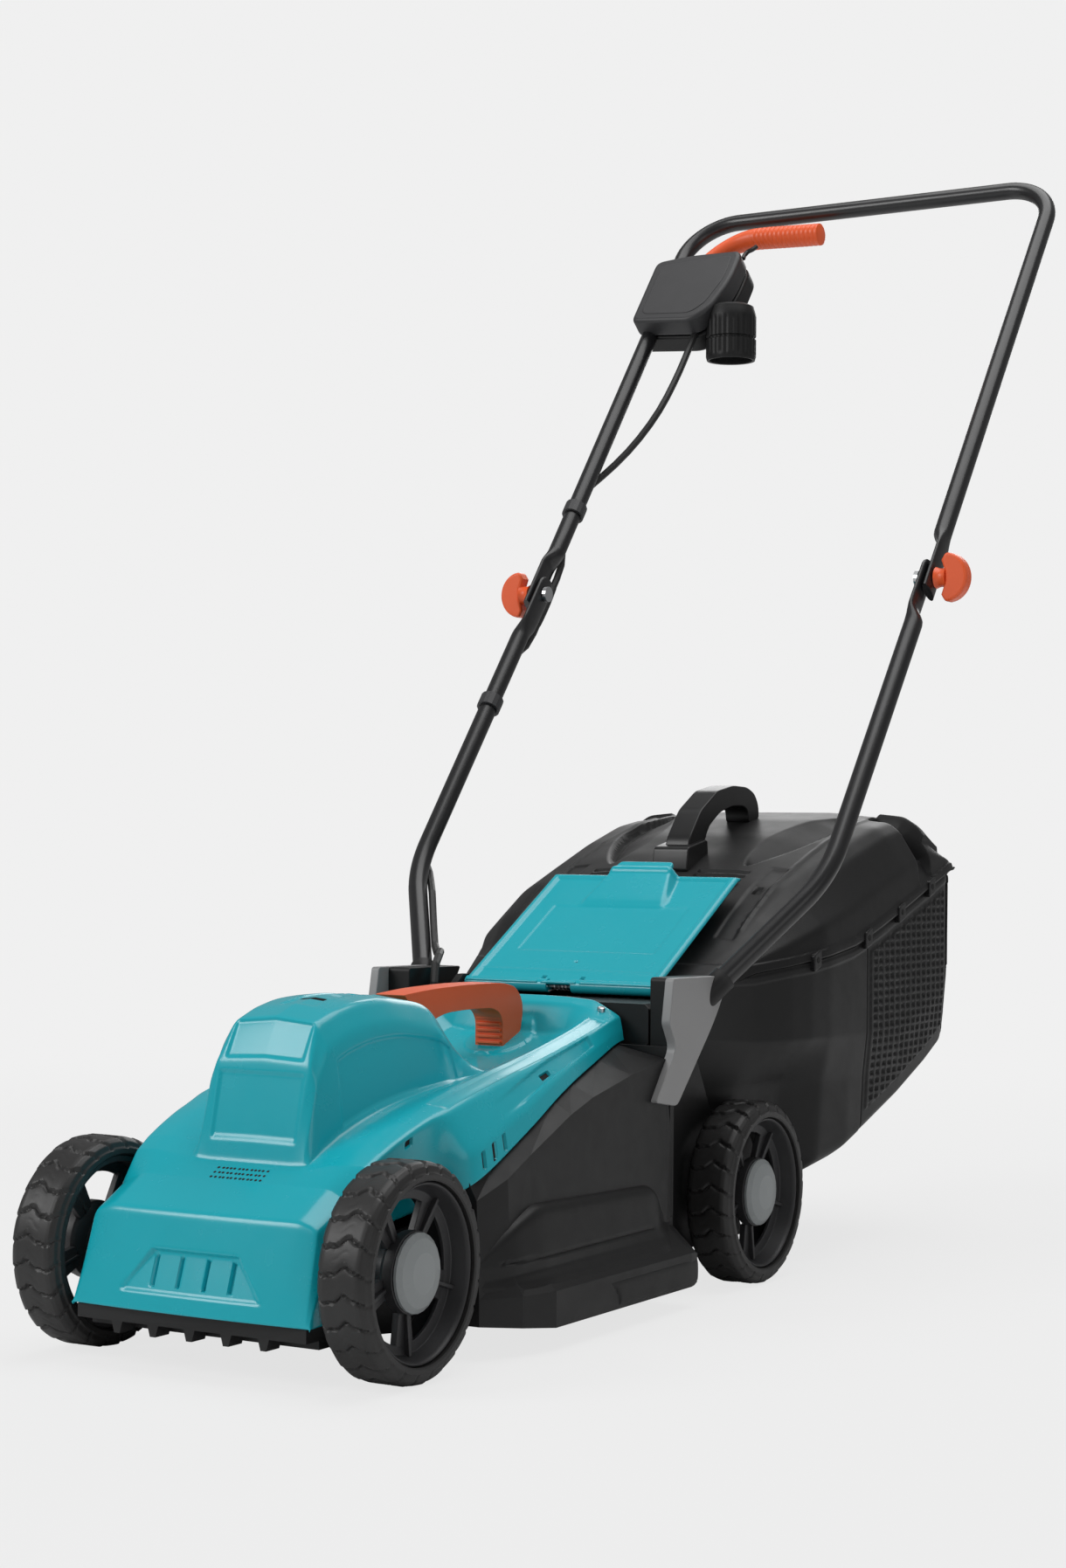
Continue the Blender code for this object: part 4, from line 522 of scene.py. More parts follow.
# station: (x, height) from the lower edge to the middle
HOOD_SECTIONS = [
    (-0.0682, [(x, HOOD_LIP) for x in (0.1075, 0.106, 0.103, 0.085, 0.055, 0.045, 0.03, 0.0)]),
    (-0.05, flat_top((0.1075, 0.046), (0.107, 0.085), (0.1, 0.112), 0.1165)),
    (-0.016, flat_top((0.108, 0.047), (0.108, 0.095), (0.103, 0.128), 0.1357)),
    (-0.0145, flat_top((0.108, 0.098), (0.1085, 0.113), (0.1035, 0.1295), 0.1365)),
    (0.004, [(0.1085, 0.105), (0.1095, 0.13), (0.106, 0.151), (0.088, 0.152), (0.054, 0.1485),
              (0.048, 0.148), (0.036, 0.1475), (0.0, 0.1475)]),
    (0.0205, [(0.1085, 0.108), (0.11, 0.137), (0.1085, 0.16), (0.089, 0.161), (0.055, 0.158),
              (0.049, 0.205), (0.043, 0.2215), (0.0, 0.2235)]),
    (0.036, [(0.109, 0.11), (0.111, 0.143), (0.11, 0.167), (0.09, 0.168), (0.057, 0.166),
              (0.049, 0.232), (0.037, 0.251), (0.0, 0.2545)]),
    (0.062, [(0.1095, 0.113), (0.112, 0.15), (0.113, 0.177), (0.092, 0.179), (0.06, 0.176),
              (0.05, 0.243), (0.038, 0.26), (0.0, 0.264)]),
    (0.0855, [(0.1095, 0.115), (0.1125, 0.155), (0.1145, 0.184), (0.093, 0.186), (0.061, 0.182),
              (0.051, 0.247), (0.039, 0.264), (0.0, 0.268)]),
    (0.09, [(0.14, 0.129), (0.1375, 0.15), (0.1165, 0.186), (0.093, 0.188), (0.061, 0.183),
              (0.051, 0.248), (0.039, 0.2645), (0.0, 0.2685)]),
    (0.125, [(0.141, 0.143), (0.138, 0.162), (0.117, 0.194), (0.093, 0.196), (0.062, 0.189),
              (0.052, 0.249), (0.04, 0.266), (0.0, 0.27)]),
    (0.19, [(0.1385, 0.17), (0.135, 0.184), (0.115, 0.206), (0.093, 0.208), (0.06, 0.195),
              (0.05, 0.238), (0.038, 0.258), (0.0, 0.2625)]),
    (0.228, [(0.1345, 0.185), (0.131, 0.197), (0.114, 0.212), (0.092, 0.214), (0.052, 0.197),
              (0.042, 0.216), (0.032, 0.2265), (0.0, 0.2285)]),
    (0.264, [(0.1295, 0.196), (0.126, 0.206), (0.112, 0.218), (0.091, 0.2205), (0.07, 0.2005),
              (0.045, 0.1965), (0.025, 0.1955), (0.0, 0.195)]),
    (0.33, [(0.116, 0.209), (0.1135, 0.218), (0.106, 0.229), (0.086, 0.232), (0.062, 0.209),
              (0.045, 0.206), (0.025, 0.2052), (0.0, 0.205)]),
    (0.375, [(0.1045, 0.216), (0.103, 0.224), (0.0995, 0.236), (0.08, 0.24), (0.057, 0.2255),
              (0.042, 0.2232), (0.022, 0.2226), (0.0, 0.2225)]),
    (0.39, [(0.1015, 0.218), (0.1005, 0.226), (0.0985, 0.239), (0.078, 0.2475), (0.055, 0.249),
              (0.042, 0.2492), (0.022, 0.2495), (0.0, 0.2495)]),
    (0.4, [(0.1, 0.219), (0.0995, 0.227), (0.097, 0.24), (0.072, 0.2535), (0.052, 0.255),
              (0.042, 0.2555), (0.022, 0.256), (0.0, 0.256)]),
    (0.401, [(0.1, 0.2205), (0.0995, 0.2205), (0.097, 0.2205), (0.072, 0.2205), (0.052, 0.2205),
              (0.042, 0.2205), (0.022, 0.2205), (0.0, 0.2205)]),
]
HOOD_SPLITS = (18, 24, 10, 16, 40, 12, 30)
HOOD_BOW, HOOD_FRONT_HALF = 0.004, 0.1075
SLIT_SPACING = 0.0232
VENT_SPACING, VENT_RADIUS = 0.0037, 0.0012
HOOD_TOP_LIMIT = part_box("hood")[1].z


def hood_grid():
    rings = []
    for station, half in HOOD_SECTIONS:
        bow = HOOD_BOW if station < -0.04 else 0.0
        ring = [at(x, station - bow * (1 - (x / HOOD_FRONT_HALF) ** 2), z) for x, z in half]
        rings.append(split_line(ring, HOOD_SPLITS))
    rows = dense_rows(rings, 0.0014)
    tight = soften(soften(rows, 7, 0), 7, 1)
    loose = soften(soften(rows, 150, 0), 10, 1)
    station = rows[:, :1, 1:2] - AXLE_Y
    share = step_up(0.04, 0.075, station) * step_down(0.35, 0.372, station)
    return mirror_grid(tight * (1 - share) + loose * share)


def hood_bands(columns):
    """For each column, the number of its place among a section's points: 1.5 is midway from the second to the
    third."""
    spans = [np.linspace(k, k + 1, count, endpoint=False) for k, count in enumerate(HOOD_SPLITS)]
    half = np.append(np.concatenate(spans), len(HOOD_SPLITS))
    return np.concatenate([half, half[-2::-1]])[None, :]


def press_front(relief, x, station, z):
    """A recess that narrows upwards, with four slits."""
    front = step_down(-0.053, -0.05, station)
    rise = (z - 0.058) / 0.031
    half = 0.0635 - 0.025 * rise
    recess = front * inside(z, 0.06, 0.088, 0.0022) * step_down(-0.002, 0.0015, x - half)
    relief.press(recess, 0.0012 + 0.0022 * np.clip(rise, 0, 1))
    for place in (SLIT_SPACING / 2, SLIT_SPACING * 1.5):
        relief.press(front * around(x, place, 0.0011, 0.0006) * inside(z, 0.064, 0.085, 0.001), 0.0032)


def press_dome(relief, x, station, z, band):
    """Inset panels on the dome's front, on the slope above it, its walls and its roof, which has louvres."""
    relief.press(inside(station, 0.0085, 0.0195, 0.0012) * inside(z, 0.16, 0.212, 0.003)
                 * step_down(0.0365, 0.04, x), 0.0016)
    relief.press(inside(station, 0.0225, 0.035, 0.0016) * step_down(0.0335, 0.037, x), 0.0014)
    relief.press(inside(band, 4.1, 4.8, 0.04) * inside(station, 0.046, 0.205, 0.003), 0.0014)
    relief.press(inside(station, 0.066, 0.165, 0.004) * step_down(0.015, 0.017, x), 0.0014)
    # the roof louvres are pressed in and painted dark as shade
    for place in (0.082, 0.104, 0.126, 0.148):
        relief.press_and_shade(inside(station, place, place + 0.0055, 0.0008) * step_down(0.011, 0.0118, x), 0.0022)


def press_side(relief, station, band):
    """A long pocket along each side, a slot in it, a small slot ahead of it and three below."""
    upper = 1.86 - 0.3 * step_down(0.15, 0.27, station)
    pocket = step_up(1.16, 1.24, band) * step_down(upper, upper + 0.07, band)
    relief.press(pocket * step_up(0.135, 0.235, station) * step_down(0.325, 0.3275, station), 0.003)
    # the slots below are pressed in and painted dark as shade
    for place, low, high, half in ((0.232, 1.36, 1.54, 0.0075), (0.05, 1.62, 1.8, 0.0035)):
        relief.press_and_shade(around(station, place, half, 0.0008) * inside(band, low, high, 0.03), 0.0022)
    for k in range(3):
        slot = around(station, 0.112 + 0.015 * k, 0.0018, 0.0007) * inside(band, 0.22 - 0.03 * k, 0.86, 0.03)
        relief.press_and_shade(slot, 0.0022)


def build_hood():
    grid = hood_grid()
    normals = outward_normals(grid, grid.shape[1] // 2, 2)
    x, station, z = np.abs(grid[..., 0]), grid[..., 1] - AXLE_Y, grid[..., 2]
    band = hood_bands(grid.shape[1]) * np.ones_like(x)
    relief = Relief(grid)
    press_front(relief, x, station, z)
    press_dome(relief, x, station, z, band)
    press_side(relief, station, band)
    # a raised oval seat under the carry handle's foot, and a line where the rear plate starts
    seat = step_down(0.92, 1.04, oval(station - 0.362, x, 0.03, 0.03))
    relief.press(seat * step_down(0.378, 0.384, station), -0.0022)
    relief.press(inside(band, 2.1, 2.85, 0.05) * inside(station, 0.1, 0.372, 0.004), 0.001)
    grid = relief.pressed(grid, normals)
    grid[..., 2] = np.minimum(grid[..., 2], HOOD_TOP_LIMIT + 0.0015)
    hood = grid_object("hood_shell", grid, (TURQUOISE, OPENING_SHADE), dark=relief.dark, thickness=0.0022)
    settle(hood, "chassis", "turquoise_plastic", "hood")
    build_vent_holes(grid, normals)


def build_vent_holes(grid, normals):
    """Three rows of small holes in front of the dome, each a thin dark disc of painted shade."""
    bm = bmesh.new()
    centre_column = grid.shape[1] // 2
    for row in range(3):
        station = -0.0125 + 0.0048 * row
        off = np.abs(grid[:, centre_column, 1] - AXLE_Y - station)
        i = int(np.argmin(off + 10 * (grid[:, centre_column, 2] > 0.15)))
        for k in range(-6, 7):
            j = int(np.argmin(np.abs(grid[i, :, 0] - k * VENT_SPACING) + 10 * (grid[i, :, 2] < 0.12)))
            normal = Vector(normals[i, j])
            turn = normal.to_track_quat("Z", "Y").to_matrix().to_4x4()
            place = Matrix.Translation(Vector(grid[i, j]) - normal * 0.0004) @ turn
            bmesh.ops.create_cone(bm, cap_ends=True, segments=10, radius1=VENT_RADIUS, radius2=VENT_RADIUS,
                                  depth=0.0011, matrix=place)
    settle(bm_object("vent_holes", bm, OPENING_SHADE), "chassis", "black_plastic")


# ---- wheels ----
TREAD_BLOCKS = 25
TYRE_RIM = 0.066
SPOKES = 5


def wheel_place(label):
    """A wheel's middle, its tyre's radius and half width, and the way it faces."""
    low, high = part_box("tyre_" + label)
    centre = (low + high) / 2
    return centre, (high.z - low.z) / 2, (high.x - low.x) / 2, 1 if centre.x > 0 else -1


def build_tyre(label):
    centre, radius, half, outward = wheel_place(label)
    profile = [(TYRE_RIM, half - 0.001), (TYRE_RIM + 0.0012, half), (radius - 0.009, half),
               (radius - 0.0072, half - 0.0012), (radius - 0.0036, half - 0.0022),
               (radius - 0.0008, half - 0.0052), (radius, half - 0.0085)]
    profile += [(r, -w) for r, w in reversed(profile)]
    outline = split_line(profile, (1, 4, 3, 4, 4, 3, 22, 3, 4, 4, 3, 4, 1))
    turns = np.linspace(0, math.tau, TREAD_BLOCKS * 18, endpoint=False)
    turn, r = np.meshgrid(turns, outline[:, 0], indexing="ij")
    w = outline[None, :, 1] * np.ones_like(r)
    # wavy grooves that run across the tread and notch its shoulders
    wave = 0.17 * np.sin(w / half * 4.4 + 0.6) + 0.05 * np.sin(w / half * 11.0)
    phase = (turn / math.tau * TREAD_BLOCKS + wave) % 1.0
    groove = step_down(0.035, 0.105, np.minimum(phase, 1 - phase))
    tread = step_up(radius - 0.0105, radius - 0.006, r)
    fine = inside((phase * 3) % 1.0, 0.44, 0.56, 0.08) * step_up(0.5, 0.8, np.cos(w / half * 3.1)) * 0.25
    r = r - tread * (0.0017 * groove + 0.0007 * fine + 0.0008 * (1 - phase))
    y, z = centre.y + r * np.cos(turn), centre.z + r * np.sin(turn)
    grid = np.stack([centre.x + outward * w, y, z], axis=2)
    tyre = grid_object(f"tyre_{label}_tread", grid, (TYRE,), wrap=(True, True))
    if outward < 0:
        tyre.data.flip_normals()
    settle(tyre, "wheel_" + label, "tyre_plastic", "tyre_" + label)


def turned_ring(bm, outline, steps):
    """A closed (radius, x) outline turned about the X axis."""
    rings = [[bm.verts.new((w, r * math.cos(t), r * math.sin(t))) for r, w in outline]
             for t in (math.tau * k / steps for k in range(steps))]
    count = len(outline)
    for a, b in zip(rings, rings[1:] + rings[:1]):
        for i in range(count):
            bm.faces.new((a[i], a[(i + 1) % count], b[(i + 1) % count], b[i]))


def add_spoke(bm, turn, shape):
    """A cube drawn out along Z by a function of each corner, then turned about the X axis."""
    for v in bmesh.ops.create_cube(bm, size=1)["verts"]:
        v.co = Vector(shape(v.co.x, v.co.y, v.co.z > 0))
        v.co.rotate(Matrix.Rotation(turn, 3, "X"))


def spoke_web(x, y, outer):
    return 0.0008 + x * 0.0056, y * (0.0225 if outer else 0.0155), 0.0532 if outer else 0.0285


def spoke_rib(x, y, outer):
    return (0.009 if outer else 0.0062) + (x - 0.5) * 0.01, y * 0.003, 0.06 if outer else 0.0285


def build_rim(label):
    """A dished rim: outer flange, barrel, a web with five windows between ribs, and a hub."""
    centre, _, _, outward = wheel_place(label)
    bm = bmesh.new()
    turned_ring(bm, [(0.0656, 0.018), (0.0656, -0.018), (0.0608, -0.018), (0.0608, -0.002), (0.052, 0.0005),
                     (0.052, 0.0035), (0.059, 0.005), (0.0622, 0.015), (0.0628, 0.0178), (0.064, 0.019)], 72)
    turned_ring(bm, [(0.03, 0.003), (0.03, 0.0115), (0.024, 0.0122), (0.0053, 0.0122), (0.0053, -0.02),
                     (0.016, -0.02), (0.0175, -0.003), (0.027, -0.0005)], 48)
    for k in range(SPOKES):
        for shape in (spoke_web, spoke_rib):
            add_spoke(bm, math.tau * (k + 0.5) / SPOKES, shape)
    bmesh.ops.recalc_face_normals(bm, faces=bm.faces)
    for v in bm.verts:
        v.co = Vector((centre.x + outward * v.co.x, centre.y + v.co.y, centre.z + v.co.z))
    if outward < 0:
        bmesh.ops.reverse_faces(bm, faces=bm.faces)
    rim = bm_object(f"rim_{label}_spoked", bm, GREY_DARK)
    add_bevel(rim, 0.0007, 2)
    settle(rim, "wheel_" + label, "dark_grey_plastic", "rim_" + label)


def build_wheels():
    for label in CORNERS:
        build_tyre(label)
        build_rim(label)
        add_bevel(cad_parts["hub_cap_" + label], 0.0006, 2, 20)


# ---- deck ----
# station: outer x of the skirt, skirt top, ledge half width, ledge height, wall x, underside
DECK_FLANK = [
    (0.096, (0.145, 0.046, 0.144, 0.064, 0.143, 0.0265)),
    (0.13, (0.164, 0.046, 0.156, 0.066, 0.149, 0.0225)),
    (0.165, (0.173, 0.046, 0.162, 0.067, 0.1485, 0.0185)),
    (0.36, (0.173, 0.046, 0.162, 0.067, 0.1475, 0.0185)),
    (0.385, (0.173, 0.046, 0.156, 0.067, 0.1465, 0.0185)),
    (0.403, (0.1715, 0.045, 0.148, 0.066, 0.1465, 0.02)),
]
FLANK_SPLITS = (10, 3, 10, 8, 4, 12, 12, 4)


def build_deck_flank(label, side):
    """The deck's side below the hood: a skirt, a step, a bulging ledge that rounds off before the rear wheel,
    and the lower edge of the wall above it."""
    rings = []
    for station, (skirt, skirt_top, ledge, ledge_top, wall, bottom) in DECK_FLANK:
        fade = float(step_down(0.35, 0.388, station) * step_up(0.1, 0.15, station))
        upper = ledge_top + 0.01 + 0.034 * fade
        bulge = wall + 0.0005 + 0.0075 * fade
        half = [(skirt - 0.004, bottom), (skirt, bottom + 0.002), (skirt, skirt_top - 0.008),
                (skirt - 0.004, skirt_top), (ledge + 0.004 * fade, ledge_top - 0.011),
                (ledge - 0.001, ledge_top - 0.006), (bulge + 0.0045 * fade, ledge_top + 0.004),
                (bulge, upper - 0.003), (wall - 0.002, upper + 0.0005)]
        rings.append(split_line([at(x, station, z) for x, z in half], FLANK_SPLITS))
    grid = soften(soften(dense_rows(rings, 0.0022), 22, 0), 3, 1)
    grid[..., 0] *= side
    station, z = grid[..., 1] - AXLE_Y, grid[..., 2]
    normals = outward_normals(grid, 5, 0, side)
    relief = Relief(grid)
    relief.press(inside(station, 0.12, 0.345, 0.006) * inside(z, 0.07, 0.0712, 0.0009), 0.0012)
    relief.press(step_down(0.85, 1.1, oval(station - 0.235, z - 0.02, 0.03, 0.022)), 0.003)
    relief.press(inside(station, -1, 0.232, 0.001) * (z < 0.044), 0.0022)
    flank = grid_object("deck_flank_" + label, relief.pressed(grid, normals), (BLACK,), thickness=0.0012)
    face_out(flank, middle_face(flank), X_AXIS * side)
    settle(flank, "chassis", "black_plastic")


def build_deck():
    add_bevel(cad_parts["deck"], 0.0016, 2, 30)
    for label, side in SIDES:
        build_deck_flank(label, side)
        outline = round_corners([(0.404, 0.036), (0.4095, 0.036), (0.4095, 0.206), (0.404, 0.206)], 0.002)
        rib = plate("deck_corner_rib_" + label, outline, side * 0.119, side * 0.1445, on_side, BLACK,
                    0.0015, 3)
        settle(rib, "chassis", "black_plastic")
    for k, side in enumerate((-1, 1)):
        lean = Vector((0.13 if side > 0 else -0.12, -0.2, 1))
        screw = screw_head(f"rear_plate_screw_{k + 1}", at(side * 0.085, 0.388, 0.2462), lean)
        settle(screw, "chassis", "steel")
    add_bevel(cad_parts["front_comb"], 0.0012, 3, 30)


def screw_head(name, place, normal, radius=0.0034):
    """A domed screw head with a shallow dimple."""
    bm = bmesh.new()
    outline = [(radius * 0.7, 0.0011), (radius, 0.0004), (radius, -0.003)]
    rings = [[bm.verts.new((r * math.cos(t), r * math.sin(t), z)) for r, z in outline]
             for t in (math.tau * k / 24 for k in range(24))]
    top, bottom = bm.verts.new((0, 0, 0.0004)), bm.verts.new((0, 0, -0.003))
    for a, b in zip(rings, rings[1:] + rings[:1]):
        bm.faces.new((top, a[0], b[0]))
        bm.faces.new((bottom, b[-1], a[-1]))
        for i in range(len(a) - 1):
            bm.faces.new((a[i], a[i + 1], b[i + 1], b[i]))
    bmesh.ops.recalc_face_normals(bm, faces=bm.faces)
    turn = normal.normalized().to_track_quat("Z", "Y").to_matrix().to_4x4()
    bmesh.ops.transform(bm, matrix=Matrix.Translation(place) @ turn, verts=bm.verts)
    return bm_object(name, bm, ZINC)


# ---- carry handle ----
CARRY_OUTLINE = [(0.1912, 0.264), (0.23, 0.2668), (0.29, 0.2682), (0.345, 0.2672), (0.366, 0.2628),
                 (0.3765, 0.252), (0.378, 0.24), (0.3735, 0.2228), (0.345, 0.2118), (0.345, 0.234),
                 (0.34, 0.242), (0.328, 0.2465), (0.29, 0.2475), (0.25, 0.246), (0.2222, 0.2366)]
CARRY_RADII = [0.002, 0.02, 0.02, 0.012, 0.008, 0.006, 0.01, 0.002, 0.002, 0.006, 0.006, 0.008, 0.02,
               0.02, 0.002]
CARRY_HALF = 0.0138


def build_carry_handle():
    outline = round_corners(CARRY_OUTLINE, CARRY_RADII)
    handle = plate("carry_grip", outline, -CARRY_HALF, CARRY_HALF, on_side, ORANGE, 0.0062, 6)
    settle(handle, "chassis", "orange_plastic", "carry_handle")
    for k in range(5):
        low = 0.215 + 0.0052 * k
        high = low + 0.0024
        rib = plate(f"carry_grip_rib_{k + 1}", [(0.3428, low), (0.347, low), (0.347, high), (0.3428, high)],
                    -0.0118, 0.0118, on_side, ORANGE, 0.0006, 2)
        settle(rib, "chassis", "orange_plastic")


# ---- flap ----
MOUTH_SLOPE = math.radians(30)
HINGE_STATION, HINGE_HEIGHT = 0.4675, 0.2585
FLAP_HALF, FLAP_LENGTH, FLAP_TOP = 0.0985, 0.185, 0.0065
FLAP_LOW = -0.004
BARREL_RADIUS = 0.0062


def on_flap(x, along, up):
    """A point given across the flap, along it from the hinge, and square to it."""
    rise, reach = math.sin(MOUTH_SLOPE), math.cos(MOUTH_SLOPE)
    return at(x, HINGE_STATION + along * reach - up * rise, HINGE_HEIGHT + along * rise + up * reach)


def flap_surface(x, along):
    """The height of the flap's face over its hinge plane, and where it is notched through."""
    edge = np.minimum.reduce([FLAP_HALF - np.abs(x), FLAP_LENGTH - along, along + 0.008])
    up = FLAP_TOP - 0.0022 * step_up(0.0065, 0.0095, edge) - 0.003 * step_down(0.0, 0.003, edge)
    up -= 0.0008 * inside(np.abs(x), -1, 0.07, 0.0015) * inside(along, 0.052, 0.128, 0.0015)
    up += 0.0006 * inside(along, 0.016, 0.019, 0.001) * (np.abs(x) < FLAP_HALF - 0.008)
    towards_tip = np.clip((along - 0.14) / 0.045, 0, 1)
    half = 0.04 - 0.01 * towards_tip
    grip = step_down(half - 0.001, half + 0.006, np.abs(x)) * step_up(0.126, 0.142, along)
    up += grip * (0.0035 + 0.0075 * towards_tip)
    up = soften(soften(up, 1, 0), 1, 1)
    relief = Relief(up)
    # the notches and the round hole are pressed in and painted dark as shade
    for place in (0.0195, -0.0195):
        relief.press_and_shade(around(x, place, 0.0014, 0.0007) * inside(along, FLAP_LOW, 0.0085, 0.001), 0.0022)
    relief.press_and_shade(step_down(0.0011, 0.0018, np.hypot(x, along - 0.034)), 0.0012)
    return up - relief.depth, relief.dark


def build_flap():
    """A pressed panel with a raised border, a shallow field, moulded notches and a grip tab."""
    x, along = np.meshgrid(np.linspace(-FLAP_HALF, FLAP_HALF, 161), np.linspace(FLAP_LOW, FLAP_LENGTH, 153))
    up, dark = flap_surface(x, along)
    grid = np.array([[on_flap(*point) for point in row] for row in np.stack([x, along, up], axis=2)])
    panel = grid_object("flap_panel", grid, (TURQUOISE, OPENING_SHADE), dark=dark, thickness=0.003)
    face_out(panel, middle_face(panel), Z_AXIS)
    settle(panel, "flap", "turquoise_plastic", "rear_flap")
    low, high = FLAP_LENGTH - 0.003, FLAP_LENGTH + 0.009
    outline = round_corners([(-0.03, low), (0.03, low), (0.028, high), (-0.028, high)], 0.004)
    tab = plate("flap_grip_lip", outline, 0.0105, 0.015, on_flap, TURQUOISE, 0.0014)
    settle(tab, "flap", "turquoise_plastic")
    for label, low, high in (("left", 0.0125, FLAP_HALF - 0.001), ("right", 0.001 - FLAP_HALF, -0.0125)):
        path = straight(at(low, HINGE_STATION, HINGE_HEIGHT), at(high, HINGE_STATION, HINGE_HEIGHT), 8)
        barrel = tube_grid(path, [(BARREL_RADIUS, BARREL_RADIUS)] * len(path), Z_AXIS, 32)
        settle(grid_object("flap_barrel_" + label, barrel, (TURQUOISE,), wrap=(False, True)), "flap",
               "turquoise_plastic")


# ---- grass box ----
MOUTH_STATION, MOUTH_HEIGHT = 0.462, 0.257
BOX_REAR = 0.96
MOUTH_HALF = 0.113
WAIST = 0.168
# station: lower half width, upper half width, underside, seam height
TUB = [
    (0.56, (0.116, 0.145, 0.093, 0.2702)), (0.6, (0.117, 0.163, 0.088, 0.2764)),
    (0.628, (0.122, 0.171, 0.082, 0.279)),
    (0.66, (0.16, 0.175, 0.081, 0.2835)), (0.71, (0.168, 0.1755, 0.092, 0.29)),
    (0.765, (0.17, 0.1755, 0.111, 0.3045)), (0.832, (0.17, 0.175, 0.133, 0.324)),
    (0.9, (0.169, 0.174, 0.158, 0.344)), (0.945, (0.167, 0.172, 0.176, 0.357)),
]
# station: top half width, shoulder height, middle height, outermost half width, seam height
LID = [
    (0.56, (0.12, 0.29, 0.296, 0.145, 0.2705)), (0.6, (0.128, 0.318, 0.3215, 0.164, 0.2765)),
    (0.65, (0.132, 0.345, 0.349, 0.1765, 0.2835)), (0.71, (0.136, 0.366, 0.374, 0.1775, 0.2918)),
    (0.765, (0.139, 0.384, 0.393, 0.1775, 0.3063)), (0.832, (0.142, 0.402, 0.41, 0.177, 0.3258)),
    (0.895, (0.143, 0.411, 0.418, 0.176, 0.345)), (0.915, (0.141, 0.407, 0.4135, 0.1755, 0.3505)),
    (0.95, (0.137, 0.386, 0.392, 0.174, 0.36)),
]
TUB_SPLITS = (26, 8, 30, 26, 66)
LID_SPLITS = (16, 26, 12, 44, 44)
SEAM_CLIPS = (0.632, 0.735, 0.815, 0.893)
MESH_SPAN = (0.752, 0.94)
GROOVE_END = 0.7445
HOLE_SPACING = (0.0134, 0.0076)              # along and up


def between(table, station):
    """Values read from a table of (station, values) by straight lines."""
    stations = [row[0] for row in table]
    return [float(np.interp(station, stations, column)) for column in zip(*(row[1] for row in table))]


def along_box(table, station, column):
    """One column of such a table at each point of a grid."""
    return np.interp(station, [row[0] for row in table], [row[1][column] for row in table])


def mouth(height, back=0.0):
    return MOUTH_STATION + (MOUTH_HEIGHT - height) * math.tan(MOUTH_SLOPE) + back / math.cos(MOUTH_SLOPE)


def tub_half(station):
    lower, upper, bottom, seam = between(TUB, station)
    side_foot = lower + (upper - lower) * 0.35
    waist = max(WAIST, bottom + 0.03)
    return [(0.0, bottom), (lower - 0.02, bottom), (lower, bottom + 0.014), (side_foot, waist),
            (upper, waist + 0.04), (upper, seam)]


def tub_grid():
    front = [(0.0, 0.104), (MOUTH_HALF - 0.012, 0.104), (MOUTH_HALF, 0.114), (MOUTH_HALF, WAIST),
             (MOUTH_HALF + 0.004, 0.215), (MOUTH_HALF + 0.004, 0.2435)]
    rings = [[at(x, mouth(z, 0.002), z) for x, z in front]]
    rings += [[at(x, station, z) for x, z in tub_half(station)] for station, _ in TUB]
    last = tub_half(TUB[-1][0])
    seam = last[-1][1]
    rings.append([at(x * 0.97, BOX_REAR, min(z + 0.006, seam)) for x, z in last])
    rings.append([at(x * 0.97, BOX_REAR + 0.001, seam) for x, _ in last])
    rows = dense_rows([split_line(ring, TUB_SPLITS)[::-1] for ring in rings], 0.0017)
    return mirror_grid(soften(soften(rows, 14, 0), 4, 1))


def build_tub():
    """The box's body: a rib under the seam, and a panel of small square holes over each flank's rear half."""
    grid = tub_grid()
    normals = outward_normals(grid, 5, 0)
    station, z = grid[..., 1] - AXLE_Y, grid[..., 2]
    seam, bottom = along_box(TUB, station, 3), along_box(TUB, station, 2)
    flank = step_up(0.5, 0.8, np.abs(normals[..., 0]))
    panel = flank * inside(station, *MESH_SPAN, 0.0016) * inside(z, bottom + 0.03, seam - 0.017, 0.002)
    along = ((station - 0.755) / HOLE_SPACING[0]) % 1.0
    upward = ((z - 0.15) / HOLE_SPACING[1]) % 1.0
    hole = inside(along, 0.24, 0.76, 0.06) * inside(upward, 0.26, 0.74, 0.08) * panel
    relief = Relief(grid)
    relief.press((1 - panel) * flank * (station > GROOVE_END), 0.0012)
    relief.press(hole, 0.0016)
    groove = inside(station, GROOVE_END - 0.0025, GROOVE_END, 0.0012)
    relief.press(flank * groove * (z < seam - 0.006), 0.0014)
    relief.press(flank * inside(seam - z, 0.0035, 0.009, 0.0012), -0.0008)
    # painted shade in the holes: their cells take the dark finish
    relief.dark = step_up(0.35, 0.6, hole)
    tub = grid_object("grass_box_body", relief.pressed(grid, normals), (BLACK, OPENING_SHADE), dark=relief.dark,
                      thickness=0.002)
    face_out(tub, max(tub.data.polygons, key=lambda face: face.center.x), X_AXIS)
    settle(tub, "grass_box", "black_plastic", "grass_box_tub")


def lid_section(top_half, shoulder, crown, outer, seam):
    rise = shoulder - seam
    return [(outer, seam), (outer - 0.003, seam + rise * 0.45),
            (top_half + (outer - top_half) * 0.35, seam + rise * 0.88), (top_half, shoulder),
            (top_half * 0.5, crown), (0.0, crown)]


